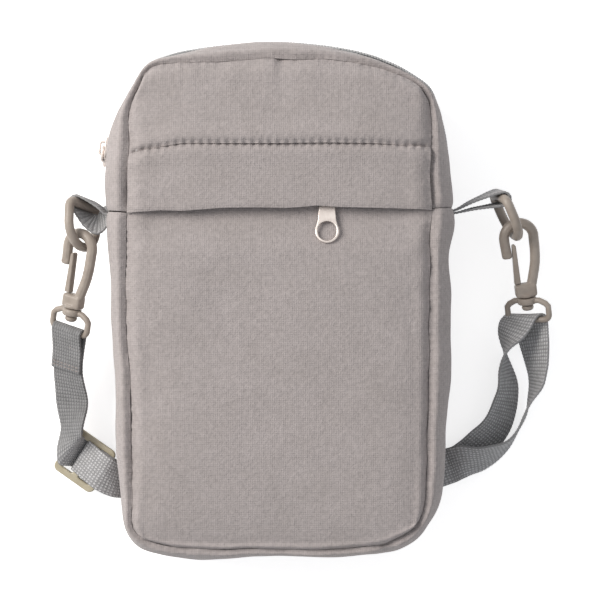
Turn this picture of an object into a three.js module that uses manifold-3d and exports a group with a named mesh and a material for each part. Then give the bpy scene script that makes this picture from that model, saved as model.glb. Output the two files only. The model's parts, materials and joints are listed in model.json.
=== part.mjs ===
// Tech pouch: a small padded crossbody bag that lies on its back, its webbing strap folded away under it.
// Millimetres. +X is the bag's right as its front is seen, +Y its top, +Z comes out of its front.
// The origin is the middle of the flat back that it rests on.
import * as THREE from "three";
import { mergeVertices } from "three/addons/utils/BufferGeometryUtils.js";
import Module from "manifold-3d";

const wasm = await Module();
wasm.setup();

// The bag's overall size, and the air left between neighbouring pieces.
const BAG_WIDTH = 145;
const BAG_HEIGHT = 217;
const BAG_DEPTH = 50;
const GAP = 0.3;

// The gusset, the padded wall that runs round the bag between its front and back seams.
const GUSSET_SIDE_REACH = 10;
const GUSSET_END_REACH = 8.5;
const GUSSET_LEAST_REACH = 4.5;
const GUSSET_THICKNESS = 2;
const GUSSET_SEAM_INSET = 3.5;
const LINING_INSET = 0.2;

// The front: a zipped pocket low down, a storm flap over its zip, and a plain panel above.
const FRONT_THICKNESS = 2;
const FRONT_CROWN = 3.6;
const FRONT_RIM_RISE = 0.4;
const PANEL_INSET = 0.5;
const DIVIDER_INSET = 0.7;
const POCKET_ZIP_HEIGHT = 43;
const POCKET_TOP_BELOW_ZIP = 4;
const POCKET_DIP = 5;
const POCKET_DIP_LENGTH = 21;
const FLAP_BELOW_ZIP = 5;
const FLAP_ABOVE_ZIP = 21.4;
const FLAP_THICKNESS = 1.5;
const FLAP_CROWN = 2.3;
const FLAP_RIM_LIFT = 0.3;
const DIVIDER_THICKNESS = 0.8;
const DIVIDER_SAG = 4.6;

// The back, flat where it rests, with hollows for the strap that is folded under it.
const BACK_THICKNESS = 2.2;
const BACK_RIM_RISE = 3.3;
const BACK_FLAT_HALF_HEIGHT = 92;
const BACK_FLAT_SHARE = 0.88;
const HOLLOW_DEPTH = 5.7;
const HOLLOW_SIDE_ROOM = 1.5;
const HOLLOW_FOLD_ROOM = 5.3;
const HOLLOW_WALL = 2.2;

// The tape that binds each seam inside the bag.
const BINDING_WIDTH = 2.6;
const BINDING_THICKNESS = 1.2;
const BINDING_OUTSET = 0.7;
const BINDING_DEPTH = 5.7;

// Zips: woven tapes, coils, end stops, and a slider with a ring-ended puller.
const COIL_WIDTH = 1.55;
const COIL_HEIGHT = 1.3;
const TAPE_THICKNESS = 0.6;
const POCKET_ZIP_END_ROOM = 6.5;
const POCKET_TAPE_DROP = 5;
const LOWER_TAPE_WIDTH = 5.8;
const UPPER_TAPE_WIDTH = 18.8;
const TAPE_RISE_TO_FLAP = 4.8;
const TAPE_SIDE_ROOM = 3;
const STOP_LENGTH = 2;
const MAIN_TAPE_WIDTH = 8;
const MAIN_TAPE_DEPTH = 2.1;
const MAIN_COIL_DEPTH = 0.6;
const MAIN_COIL_HEIGHT = 1.2;
const MAIN_COIL_WIDTH = 2.45;
const MAIN_ZIP_ROOM = 6;

// Webbing of the strap and of the two side tabs.
const WEBBING_WIDTH = 15;
const WEBBING_THICKNESS = 1;

// Derived sizes of the shell.
const HALF_WIDTH = BAG_WIDTH / 2;
const HALF_HEIGHT = BAG_HEIGHT / 2;
const MID_DEPTH = BAG_DEPTH / 2;
const SEAM_HALF_WIDTH = HALF_WIDTH - GUSSET_SIDE_REACH;
const SEAM_HALF_HEIGHT = HALF_HEIGHT - GUSSET_END_REACH;
const GUSSET_HALF_DEPTH = MID_DEPTH - GUSSET_SEAM_INSET;
const FRONT_RIM = MID_DEPTH + GUSSET_HALF_DEPTH + FRONT_RIM_RISE;
const FLAP_RIM = FRONT_RIM + FLAP_RIM_LIFT + FLAP_THICKNESS;
const POCKET_TOP = POCKET_ZIP_HEIGHT - POCKET_TOP_BELOW_ZIP;
const FLAP_BOTTOM = POCKET_ZIP_HEIGHT - FLAP_BELOW_ZIP;
const FLAP_TOP = POCKET_ZIP_HEIGHT + FLAP_ABOVE_ZIP;
const POCKET_ZIP_HALF_LENGTH = SEAM_HALF_WIDTH - POCKET_ZIP_END_ROOM;
const POCKET_TAPE_Z = FRONT_RIM - POCKET_TAPE_DROP;

// Small helpers for vectors, closed lofts and booleans.
const vec = (x, y, z = 0) => new THREE.Vector3(x, y, z);
const UP = vec(0, 0, 1);
const along = (origin, ...terms) =>
  terms.reduce((sum, [direction, length]) => sum.addScaledVector(direction, length), origin.clone());
const mix = (a, b, share) => a + (b - a) * share;
const smooth = (share) => {
  const t = THREE.MathUtils.clamp(share, 0, 1);
  return t * t * (3 - 2 * t);
};
const steps = (count) => Array.from({ length: count + 1 }, (_, i) => i / count);

// A closed skin over rings of equal count. Each ring runs along one face of the piece and back along
// the other, so that its end caps are strips between facing points.
function loft(rings, closed = false) {
  const count = rings[0].length;
  const positions = rings.flat().flatMap((p) => [p.x, p.y, p.z]);
  const faces = [];
  const quad = (a, b, c, d) => faces.push([a, b, c], [a, c, d]);
  const spans = closed ? rings.length : rings.length - 1;
  for (let i = 0; i < spans; i++) {
    const here = i * count;
    const next = ((i + 1) % rings.length) * count;
    for (let j = 0; j < count; j++) {
      const k = (j + 1) % count;
      quad(here + j, here + k, next + k, next + j);
    }
  }
  if (!closed) {
    const last = (rings.length - 1) * count;
    for (let j = 0; j < count / 2 - 1; j++) {
      quad(count - 1 - j, count - 2 - j, j + 1, j);
      quad(last + j, last + j + 1, last + count - 2 - j, last + count - 1 - j);
    }
  }
  const points = rings.flat();
  const volume = faces.reduce(
    (sum, [a, b, c]) => sum + points[a].dot(points[b].clone().cross(points[c])),
    0,
  );
  const turned = volume < 0 ? faces.map(([a, b, c]) => [a, c, b]) : faces;
  const geometry = new THREE.BufferGeometry();
  geometry.setAttribute("position", new THREE.Float32BufferAttribute(positions, 3));
  geometry.setIndex(turned.flat());
  geometry.computeVertexNormals();
  return geometry;
}

function solidOf(geometry) {
  const bare = new THREE.BufferGeometry();
  const source = geometry.index ? geometry.toNonIndexed() : geometry;
  bare.setAttribute("position", source.getAttribute("position"));
  const merged = mergeVertices(bare);
  return new wasm.Manifold(
    new wasm.Mesh({
      numProp: 3,
      vertProperties: merged.attributes.position.array,
      triVerts: new Uint32Array(merged.index.array),
    }),
  );
}

function geometryOf(solid) {
  const mesh = solid.getMesh();
  const geometry = new THREE.BufferGeometry();
  geometry.setAttribute("position", new THREE.BufferAttribute(mesh.vertProperties, 3));
  geometry.setIndex(new THREE.BufferAttribute(mesh.triVerts, 1));
  geometry.computeVertexNormals();
  return geometry;
}

const join = (...geometries) => geometryOf(geometries.map(solidOf).reduce((a, b) => a.add(b)));

// A right prism over an outline of points in the XY plane.
function prism(points, bottom, top) {
  const shape = new THREE.Shape(points.map((p) => new THREE.Vector2(p.x, p.y)));
  const geometry = new THREE.ExtrudeGeometry(shape, { depth: top - bottom, bevelEnabled: false });
  return geometry.translate(0, 0, bottom);
}

// Finishes, as seen on the bag.
const finish = (color, roughness, metalness = 0) =>
  new THREE.MeshStandardMaterial({ color, roughness, metalness });
const POLYESTER = finish(0xa79f9d, 0.9);
const LINING = finish(0x8d8886, 0.9);
const ZIP_TAPE = finish(0xa9a8a8, 0.85);
const COIL = finish(0x9a9998, 0.5);
const WEBBING = finish(0xb4b2b6, 0.85);
const NICKEL = finish(0xb9b3aa, 0.3, 1);
const TAUPE_PLASTIC = finish(0xa89e94, 0.45);
const CREAM_PLASTIC = finish(0xbab29b, 0.4);

const pouch = new THREE.Group();
pouch.name = "tech_pouch";

function add(name, geometry, material, parent = pouch) {
  const mesh = new THREE.Mesh(geometry, material);
  mesh.name = name;
  parent.add(mesh);
  return mesh;
}

// The bag's plan outline: the gusset's crest as shares of the half width and half height, then the seam
// as shares of the seam's own. It runs from the right cross seam, over the top to the left cross seam,
// and round the bottom.
const OUTLINE_SHARES = [
  [1.003, 0.354, 0.997, 0.377],
  [0.99, 0.484, 0.997, 0.515],
  [0.974, 0.619, 1.003, 0.659],
  [0.932, 0.735, 1, 0.77],
  [0.88, 0.817, 0.958, 0.848],
  [0.764, 0.878, 0.853, 0.906],
  [0.626, 0.927, 0.688, 0.951],
  [0.434, 0.971, 0.477, 0.98],
  [0, 1.004, 0, 0.994],
  [-0.452, 0.981, -0.478, 0.978],
  [-0.648, 0.954, -0.69, 0.976],
  [-0.782, 0.913, -0.84, 0.957],
  [-0.863, 0.825, -0.936, 0.877],
  [-0.945, 0.724, -0.992, 0.753],
  [-0.996, 0.612, -0.995, 0.634],
  [-1.008, 0.484, -1.002, 0.506],
  [-1.003, 0.341, -1.005, 0.362],
  [-0.985, 0.039, -1.014, 0.041],
  [-0.956, -0.387, -0.982, -0.412],
  [-0.927, -0.794, -0.973, -0.823],
  [-0.895, -0.906, -0.963, -0.945],
  [-0.806, -0.966, -0.867, -0.992],
  [-0.648, -0.996, -0.715, -1.017],
  [0, -1.003, 0, -1.025],
  [0.521, -0.993, 0.582, -1.016],
  [0.684, -0.973, 0.754, -0.988],
  [0.793, -0.933, 0.866, -0.951],
  [0.869, -0.871, 0.931, -0.902],
  [0.924, -0.794, 0.962, -0.823],
  [0.971, -0.387, 0.979, -0.412],
  [0.993, 0, 0.994, 0],
  [0.979, 0.174, 0.992, 0.185],
  [1.008, 0.29, 0.994, 0.309],
];
const STATIONS = OUTLINE_SHARES.length;
const LEFT_CROSS_SEAM = 16;
const TOP_RIGHT_CORNER = 4;
const TOP_LEFT_CORNER = 12;
const BOTTOM_LEFT_CORNER = 20.5;
const BOTTOM_RIGHT_CORNER = 26.5;

const closedCurve = (points) => new THREE.CatmullRomCurve3(points, true, "centripetal");
const crestCurve = closedCurve(
  OUTLINE_SHARES.map(([x, y]) => vec(x * HALF_WIDTH, y * HALF_HEIGHT)),
);
const seamCurve = closedCurve(
  OUTLINE_SHARES.map(([, , x, y]) => vec(x * SEAM_HALF_WIDTH, y * SEAM_HALF_HEIGHT)),
);
const turn = (station) => (((station / STATIONS) % 1) + 1) % 1;

// The seam at a station, moved inwards in plan by an inset.
function seamAt(station, inset = 0) {
  const outward = seamCurve.getTangent(turn(station)).cross(UP).normalize();
  return seamCurve.getPoint(turn(station)).addScaledVector(outward, -inset);
}

// The station where one side of the seam passes a height.
function stationAtHeight(height, low, high) {
  let [a, b] = [low, high];
  const rising = seamAt(high).y > seamAt(low).y;
  for (let i = 0; i < 40; i++) {
    const middle = (a + b) / 2;
    if (seamAt(middle).y < height === rising) a = middle;
    else b = middle;
  }
  return (a + b) / 2;
}
const rightStation = (height) =>
  stationAtHeight(height, BOTTOM_RIGHT_CORNER - STATIONS, TOP_RIGHT_CORNER);
const leftStation = (height) => stationAtHeight(height, TOP_LEFT_CORNER, BOTTOM_LEFT_CORNER);

// The gusset's section at a station: a squared half oval from the front seam, at +90 degrees, out to the
// crest and back to the back seam, at -90 degrees. Depth is measured in from its outer face.
const SECTION_SQUARENESS = 0.75;
const FULL_SECTION = [90, 78, 62, 40, 14, -14, -40, -62, -78, -90];
const sectionPower = (value) => Math.sign(value) * Math.abs(value) ** SECTION_SQUARENESS;

function gussetPoint(station, angle, depth) {
  const seam = seamCurve.getPoint(turn(station));
  const outward = crestCurve.getPoint(turn(station)).sub(seam);
  const reach = Math.max(outward.length(), GUSSET_LEAST_REACH);
  outward.normalize();
  const section = (degrees) => {
    const radians = THREE.MathUtils.degToRad(THREE.MathUtils.clamp(degrees, -90, 90));
    return new THREE.Vector2(
      reach * sectionPower(Math.max(Math.cos(radians), 0)),
      GUSSET_HALF_DEPTH * sectionPower(Math.sin(radians)),
    );
  };
  const here = section(angle);
  const tangent = section(angle + 0.5).sub(section(angle - 0.5)).normalize();
  if (Math.abs(angle) === 90) tangent.set(-Math.sign(angle), 0);
  const out = here.x - tangent.y * depth;
  const rise = here.y + tangent.x * depth;
  return along(seam, [outward, out], [UP, MID_DEPTH + rise]);
}

// The section's angle at a height over the bag's mid depth.
const angleAt = (rise) =>
  THREE.MathUtils.radToDeg(
    Math.asin(Math.sign(rise) * Math.abs(rise / GUSSET_HALF_DEPTH) ** (1 / SECTION_SQUARENESS)),
  );

// A band of the gusset between two stations: a strip of the section, between two depths.
function band(from, to, angles, outerDepth, innerDepth) {
  const spans = Math.ceil((to - from) * 2);
  return loft(
    steps(spans).map((share) => {
      const station = mix(from, to, share);
      const face = (depth) => angles.map((angle) => gussetPoint(station, angle, depth));
      return [...face(outerDepth), ...face(innerDepth).reverse()];
    }),
  );
}

// Stations at a distance past a cross seam, so that the bands on its two sides stay a gap apart.
const stationPast = (station, distance) => {
  const step = 0.01;
  const speed =
    crestCurve.getPoint(turn(station + step)).distanceTo(crestCurve.getPoint(turn(station - step))) /
    (2 * step);
  return station + distance / speed;
};

// The gusset: one piece round the bottom, and above the cross seams a front and a back strip with the
// main zip between them.
const lowerFrom = stationPast(LEFT_CROSS_SEAM, GAP / 2);
const lowerTo = stationPast(STATIONS, -GAP / 2);
const upperFrom = stationPast(0, GAP / 2);
const upperTo = stationPast(LEFT_CROSS_SEAM, -GAP / 2);
const zipAngle = angleAt(MAIN_ZIP_ROOM);
const FRONT_STRIP = [...FULL_SECTION.filter((angle) => angle > zipAngle + 4), zipAngle];
const BACK_STRIP = FRONT_STRIP.map((angle) => -angle).reverse();

// The webbing tabs are sewn into the cross seams, in notches cut in the ends of the lower gusset.
const TAB_LAYERS = 2;
const TAB_STACK = TAB_LAYERS * WEBBING_THICKNESS + GAP / 2;
const NOTCH_HEIGHT = TAB_STACK + 3 * GAP;
const NOTCH_WIDTH = WEBBING_WIDTH + 2 * GAP;
const crossSeam = [0, LEFT_CROSS_SEAM].map((station) => gussetPoint(station, 0, 0));
const notches = crossSeam.map((crest) => {
  const box = new THREE.BoxGeometry(2 * GUSSET_SIDE_REACH, 2 * NOTCH_HEIGHT, NOTCH_WIDTH);
  return box.translate(crest.x, crest.y, crest.z);
});
const lowerBand = band(lowerFrom, lowerTo, FULL_SECTION, 0, GUSSET_THICKNESS);
const lowerGusset = notches.reduce((body, notch) => body.subtract(solidOf(notch)), solidOf(lowerBand));
add("lower_gusset", geometryOf(lowerGusset), POLYESTER);

const STRIP_DEPTH = GUSSET_THICKNESS - LINING_INSET;
add("upper_gusset_front", band(upperFrom, upperTo, FRONT_STRIP, 0, STRIP_DEPTH), POLYESTER);
add("upper_gusset_back", band(upperFrom, upperTo, BACK_STRIP, 0, STRIP_DEPTH), POLYESTER);

// The main zip: its two tapes lie under the strips, its coils meet in the middle of the gusset, and a stop
// crosses both coils at each end.
const tapeBand = (low, high) =>
  band(upperFrom, upperTo, [angleAt(high), angleAt(low)], MAIN_TAPE_DEPTH, tapeInner);
const tapeInner = MAIN_TAPE_DEPTH + TAPE_THICKNESS;
const coilInner = MAIN_COIL_DEPTH + MAIN_COIL_HEIGHT;
const coilEdge = GAP / 2 + MAIN_COIL_WIDTH;
add("main_tape_front", tapeBand(GAP, MAIN_TAPE_WIDTH), ZIP_TAPE);
add("main_tape_back", tapeBand(-MAIN_TAPE_WIDTH, -GAP), ZIP_TAPE);
const stopRoom = STOP_LENGTH + GAP;
const coilBand = (low, high, from, to) =>
  band(from, to, [angleAt(high), angleAt(low)], MAIN_COIL_DEPTH, coilInner);
for (const [name, low, high] of [
  ["main_coil_front", GAP / 2, coilEdge],
  ["main_coil_back", -coilEdge, -GAP / 2],
]) {
  add(name, coilBand(low, high, stationPast(upperFrom, stopRoom), stationPast(upperTo, -stopRoom)), COIL);
}
for (const [name, from, to] of [
  ["main_stop_right", upperFrom, stationPast(upperFrom, STOP_LENGTH)],
  ["main_stop_left", stationPast(upperTo, -STOP_LENGTH), upperTo],
]) {
  add(name, coilBand(-coilEdge, coilEdge, from, to), NICKEL);
}

// A patch over four edges that meet at its corners, each a function of a share from 0 to 1.
function patch(bottom, top, left, right) {
  const [a, b, c, d] = [bottom(0), bottom(1), top(0), top(1)];
  return (s, t) =>
    vec(0, 0)
      .addScaledVector(bottom(s), 1 - t)
      .addScaledVector(top(s), t)
      .addScaledVector(left(t), 1 - s)
      .addScaledVector(right(t), s)
      .addScaledVector(a, -(1 - s) * (1 - t))
      .addScaledVector(b, -s * (1 - t))
      .addScaledVector(c, -(1 - s) * t)
      .addScaledVector(d, -s * t);
}
const seamEdge = (from, to, inset) => (share) => seamAt(mix(from, to, share), inset);
const straightEdge = (from, to) => (share) => from.clone().lerp(to, share);

// A sheet of even thickness over a patch. Its upper face is at height(across, place), where across runs
// from -1 to 1 and place is the point in plan.
const COLUMN_SHARES = [0, 0.02, 0.06, 0.15, 0.3, 0.5, 0.7, 0.85, 0.94, 0.98, 1];
function slab(surface, rowShares, height, thickness) {
  return loft(
    rowShares.map((t) => {
      const face = (depth) =>
        COLUMN_SHARES.map((s) => {
          const place = surface(s, t);
          return place.setZ(height(2 * s - 1, place) - depth);
        });
      return [...face(0), ...face(thickness).reverse()];
    }),
  );
}
const crownAt = (across, place) => {
  const lengthwise = Math.min(Math.abs(place.y / SEAM_HALF_HEIGHT), 1);
  return (1 - Math.abs(across) ** 5) * (1 - lengthwise ** 9);
};

// Part of the outline between two heights, or from its bottom or to its top when one is left out.
function outlinePatch(inset, low, high) {
  const sides = [leftStation, rightStation].map((stationOf) => [
    low === undefined ? null : stationOf(low),
    high === undefined ? null : stationOf(high),
  ]);
  const leftLow = sides[0][0] ?? BOTTOM_LEFT_CORNER;
  const leftHigh = sides[0][1] ?? TOP_LEFT_CORNER;
  const rightLow = sides[1][0] ?? BOTTOM_RIGHT_CORNER - STATIONS;
  const rightHigh = sides[1][1] ?? TOP_RIGHT_CORNER;
  const bottom =
    low === undefined
      ? seamEdge(BOTTOM_LEFT_CORNER, BOTTOM_RIGHT_CORNER, inset)
      : straightEdge(seamAt(leftLow, inset), seamAt(rightLow, inset));
  const top =
    high === undefined
      ? seamEdge(TOP_LEFT_CORNER, TOP_RIGHT_CORNER, inset)
      : straightEdge(seamAt(leftHigh, inset), seamAt(rightHigh, inset));
  return patch(bottom, top, seamEdge(leftLow, leftHigh, inset), seamEdge(rightLow, rightHigh, inset));
}

// The front pieces. The pocket panel dips towards its zip, under the storm flap.
const frontHeight = (across, place) => FRONT_RIM + FRONT_CROWN * crownAt(across, place);
const pocketHeight = (across, place) => {
  const dip = smooth((place.y - POCKET_TOP + POCKET_DIP_LENGTH) / POCKET_DIP_LENGTH);
  return frontHeight(across, place) - POCKET_DIP * dip * (1 - Math.abs(across) ** 6);
};
const flapHeight = (across, place) => FLAP_RIM + FLAP_CROWN * crownAt(across, place);
const POCKET_ROW_SHARES = [0, 0.015, 0.045, 0.09, 0.2, 0.4, 0.6, 0.8, 0.86, 0.9, 0.94, 0.97, 1];
const UPPER_ROW_SHARES = [0, 0.2, 0.45, 0.7, 0.85, 0.95, 1];
add(
  "pocket_panel",
  slab(outlinePatch(PANEL_INSET, undefined, POCKET_TOP), POCKET_ROW_SHARES, pocketHeight, FRONT_THICKNESS),
  POLYESTER,
);
add(
  "zip_flap",
  slab(outlinePatch(PANEL_INSET, FLAP_BOTTOM, FLAP_TOP), steps(4), flapHeight, FLAP_THICKNESS),
  POLYESTER,
);
add(
  "upper_front_panel",
  slab(outlinePatch(PANEL_INSET, FLAP_TOP + GAP), UPPER_ROW_SHARES, frontHeight, FRONT_THICKNESS),
  POLYESTER,
);

// The divider behind the front pocket, a shallow tray of lining sewn in with the front seam.
const FULL_ROW_SHARES = [0, 0.02, 0.07, 0.2, 0.4, 0.6, 0.8, 0.93, 0.98, 1];
const DIVIDER_RIM = FRONT_RIM - FRONT_THICKNESS - PANEL_INSET;
const dividerHeight = (across, place) => {
  const lengthwise = Math.min(Math.abs(place.y / SEAM_HALF_HEIGHT), 1);
  return DIVIDER_RIM - DIVIDER_SAG * (1 - Math.abs(across) ** 8) * (1 - lengthwise ** 12);
};
add(
  "divider_panel",
  slab(outlinePatch(DIVIDER_INSET), FULL_ROW_SHARES, dividerHeight, DIVIDER_THICKNESS),
  LINING,
);

// Each seam's binding is a closed ring of tape just inside the gusset.
function binding(height) {
  const rings = steps(STATIONS).slice(0, -1);
  return loft(
    rings.map((share) => {
      const corner = (side, rise) =>
        seamAt(share * STATIONS, -BINDING_OUTSET - (side * BINDING_THICKNESS) / 2).setZ(
          height + (rise * BINDING_WIDTH) / 2,
        );
      return [corner(-1, -1), corner(-1, 1), corner(1, 1), corner(1, -1)];
    }),
    true,
  );
}
add("front_seam_binding", binding(FRONT_RIM - BINDING_DEPTH), LINING);
add("back_seam_binding", binding(BAG_DEPTH - FRONT_RIM + BINDING_DEPTH), LINING);

// Where the strap lies folded under the bag: it comes in low on the left, turns at three flat folds and
// goes out low on the right. The shares are of the bag's half width and half height.
const STRAP_ROUTE_SHARES = [
  [-0.803, -0.732],
  [-0.303, -0.811],
  [0.524, 0.415],
  [0.455, -0.793],
  [0.966, -0.664],
];
const STRAP_ROUTE = STRAP_ROUTE_SHARES.map(([x, y]) => vec(x * HALF_WIDTH, y * HALF_HEIGHT));

// The back panel: flat in its middle, curving up to its seam, with a walled hollow along the strap.
const backHeight = (across, place) => {
  const past = (value, flat, full) => Math.max(0, (Math.abs(value) - flat) / (full - flat));
  const rise = Math.max(
    past(across, BACK_FLAT_SHARE, 1),
    past(place.y, BACK_FLAT_HALF_HEIGHT, SEAM_HALF_HEIGHT),
  );
  return BACK_THICKNESS + BACK_RIM_RISE * Math.min(rise, 1) ** 1.5;
};
const BACK_ROW_SHARES = [0, 0.015, 0.03, 0.05, 0.3, 0.6, 0.94, 0.96, 0.98, 1];
const backSheet = slab(outlinePatch(PANEL_INSET), BACK_ROW_SHARES, backHeight, BACK_THICKNESS);

// A run of the hollow in plan: a capsule of a half width between two points.
function capsule(from, to, halfWidth, bottom, top) {
  const direction = to.clone().sub(from).normalize();
  const heading = Math.atan2(direction.y, direction.x);
  const end = (centre, start) =>
    steps(6).map((share) => {
      const angle = start + share * Math.PI;
      return along(centre, [vec(Math.cos(angle), Math.sin(angle)), halfWidth]);
    });
  return prism([...end(from, heading + Math.PI / 2), ...end(to, heading - Math.PI / 2)], bottom, top);
}
const FOLD_POINTS = [STRAP_ROUTE[1], STRAP_ROUTE[3]];
function routePrisms(widening, bottom, top) {
  const halfWidth = WEBBING_WIDTH / 2 + HOLLOW_SIDE_ROOM + widening;
  const foldRadius = WEBBING_WIDTH / 2 + HOLLOW_FOLD_ROOM + widening;
  const runs = STRAP_ROUTE.slice(1).map((to, i) =>
    capsule(STRAP_ROUTE[i], to, halfWidth, bottom, top),
  );
  const folds = FOLD_POINTS.map((centre) => {
    const disc = new THREE.CylinderGeometry(foldRadius, foldRadius, top - bottom, 20);
    return disc.rotateX(Math.PI / 2).translate(centre.x, centre.y, (top + bottom) / 2);
  });
  return [...runs, ...folds].map(solidOf).reduce((a, b) => a.add(b));
}
const backOutline = steps(2 * STATIONS)
  .slice(0, -1)
  .map((share) => seamAt(share * STATIONS, PANEL_INSET));
const withinSeam = solidOf(prism(backOutline, -HOLLOW_DEPTH, BAG_DEPTH));
const wall = routePrisms(HOLLOW_WALL, BACK_THICKNESS / 2, HOLLOW_DEPTH + HOLLOW_WALL);
const hollow = routePrisms(0, -HOLLOW_DEPTH, HOLLOW_DEPTH);
const backPanel = solidOf(backSheet).add(wall.intersect(withinSeam)).subtract(hollow);
add("back_panel", geometryOf(backPanel), POLYESTER);

// The pocket zip, under the flap: a lower tape on the pocket, an upper one sewn up to the flap's fold,
// a coil on the edge of each, and a stop across both coils at each end.
const tapeHalfLength = POCKET_ZIP_HALF_LENGTH + TAPE_SIDE_ROOM;
const tapeTop = POCKET_TAPE_Z + TAPE_THICKNESS;
function tape(places) {
  const rings = [-tapeHalfLength, tapeHalfLength].map((x) => {
    const face = (rise) => places.map(([y, z]) => vec(x, POCKET_ZIP_HEIGHT + y, z + rise));
    return [...face(TAPE_THICKNESS), ...face(0).reverse()];
  });
  return loft(rings);
}
add(
  "pocket_tape_lower",
  tape([
    [-LOWER_TAPE_WIDTH - GAP / 2, POCKET_TAPE_Z],
    [-GAP / 2, POCKET_TAPE_Z],
  ]),
  ZIP_TAPE,
);
add(
  "pocket_tape_upper",
  tape([
    [GAP / 2, POCKET_TAPE_Z],
    [UPPER_TAPE_WIDTH / 2, POCKET_TAPE_Z],
    [UPPER_TAPE_WIDTH, POCKET_TAPE_Z + TAPE_RISE_TO_FLAP],
  ]),
  ZIP_TAPE,
);
const coilHalfLength = POCKET_ZIP_HALF_LENGTH - STOP_LENGTH - GAP;
const coilBottom = tapeTop + GAP;
function block(from, to) {
  const size = to.clone().sub(from);
  const middle = from.clone().add(to).divideScalar(2);
  return new THREE.BoxGeometry(size.x, size.y, size.z).translate(middle.x, middle.y, middle.z);
}
for (const [name, low, high] of [
  ["pocket_coil_lower", -GAP / 2 - COIL_WIDTH, -GAP / 2],
  ["pocket_coil_upper", GAP / 2, GAP / 2 + COIL_WIDTH],
]) {
  const geometry = block(
    vec(-coilHalfLength, POCKET_ZIP_HEIGHT + low, coilBottom),
    vec(coilHalfLength, POCKET_ZIP_HEIGHT + high, coilBottom + COIL_HEIGHT),
  );
  add(name, geometry, COIL);
}
for (const [name, side] of [
  ["pocket_stop_left", -1],
  ["pocket_stop_right", 1],
]) {
  const middle = side * (POCKET_ZIP_HALF_LENGTH - STOP_LENGTH / 2);
  const half = vec(STOP_LENGTH / 2, COIL_WIDTH + GAP / 2, COIL_HEIGHT / 2);
  const centre = vec(middle, POCKET_ZIP_HEIGHT, coilBottom + COIL_HEIGHT / 2);
  add(name, block(centre.clone().sub(half), centre.clone().add(half)), NICKEL);
}

// A zip slider in its own frame: +X along the track in the closing direction, +Z out of the zip, and its
// origin on top of the coils. It has a top plate, two flanges that hold the tapes' coils, and a bail.
const SLIDER_LENGTH = 9;
const SLIDER_WIDTH = 7.4;
const SLIDER_PLATE = 1;
const FLANGE_THICKNESS = 0.75;
const FLANGE_DROP = 1.2;
const BAIL_RISE = 3;
const BAIL_SPAN = 5.2;
const BAIL_WIDTH = 1.4;
const BAIL_THICKNESS = 1.2;
function slider() {
  const top = GAP + SLIDER_PLATE;
  const plate = [
    vec(-SLIDER_LENGTH / 2, -SLIDER_WIDTH / 2),
    vec(SLIDER_LENGTH / 4, -SLIDER_WIDTH / 2),
    vec(SLIDER_LENGTH / 2, -SLIDER_WIDTH / 4),
    vec(SLIDER_LENGTH / 2, SLIDER_WIDTH / 4),
    vec(SLIDER_LENGTH / 4, SLIDER_WIDTH / 2),
    vec(-SLIDER_LENGTH / 2, SLIDER_WIDTH / 2),
  ];
  const flanges = [-1, 1].map((side) => {
    const outer = (side * SLIDER_WIDTH) / 2;
    const inner = outer - side * FLANGE_THICKNESS;
    return block(
      vec(-SLIDER_LENGTH / 2, Math.min(outer, inner), -FLANGE_DROP),
      vec(SLIDER_LENGTH / 4, Math.max(outer, inner), top),
    );
  });
  const inside = BAIL_SPAN / 2 - BAIL_THICKNESS / 2;
  const outside = BAIL_SPAN / 2 + BAIL_THICKNESS / 2;
  const legs = [-1, 1].map((side) =>
    block(
      vec(Math.min(side * inside, side * outside), -BAIL_WIDTH / 2, top - SLIDER_PLATE / 2),
      vec(Math.max(side * inside, side * outside), BAIL_WIDTH / 2, top + BAIL_RISE),
    ),
  );
  const bridge = block(
    vec(-outside, -BAIL_WIDTH / 2, top + BAIL_RISE - BAIL_THICKNESS),
    vec(outside, BAIL_WIDTH / 2, top + BAIL_RISE),
  );
  return join(prism(plate, GAP, top), ...flanges, ...legs, bridge);
}

// A ring-ended puller in its own frame: its eye round the bail at the origin, its ring end along -Y, and
// its flat faces along Z.
const PULLER_LENGTH = 20;
const PULLER_WIDTH = 10;
const PULLER_NECK_WIDTH = 6.4;
const PULLER_THICKNESS = 1;
const PULLER_HOLE_WIDTH = 7.7;
const PULLER_HOLE_LENGTH = 8.5;
const PULLER_EYE_WIDTH = 3;
const PULLER_EYE_LENGTH = 3.3;
const PULLER_EYE_TOP = 0.9;
const PULLER_EYE_WALL = 0.8;
function roundedRing(halfWidth, low, high, segments) {
  const middle = (low + high) / 2;
  const straight = Math.max(0, (high - low) / 2 - halfWidth);
  const end = (centre, start) =>
    steps(segments).map((share) => {
      const angle = start + share * Math.PI;
      return vec(halfWidth * Math.cos(angle), centre + halfWidth * Math.sin(angle));
    });
  return [...end(middle + straight, 0), ...end(middle - straight, Math.PI)];
}
function plateWithHoles(outline, holes, thickness) {
  const shape = new THREE.Shape(outline.map((p) => new THREE.Vector2(p.x, p.y)));
  for (const hole of holes) {
    shape.holes.push(new THREE.Path(hole.map((p) => new THREE.Vector2(p.x, p.y))));
  }
  const options = { depth: thickness, bevelEnabled: false };
  return new THREE.ExtrudeGeometry(shape, options).translate(0, 0, -thickness / 2);
}
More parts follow.
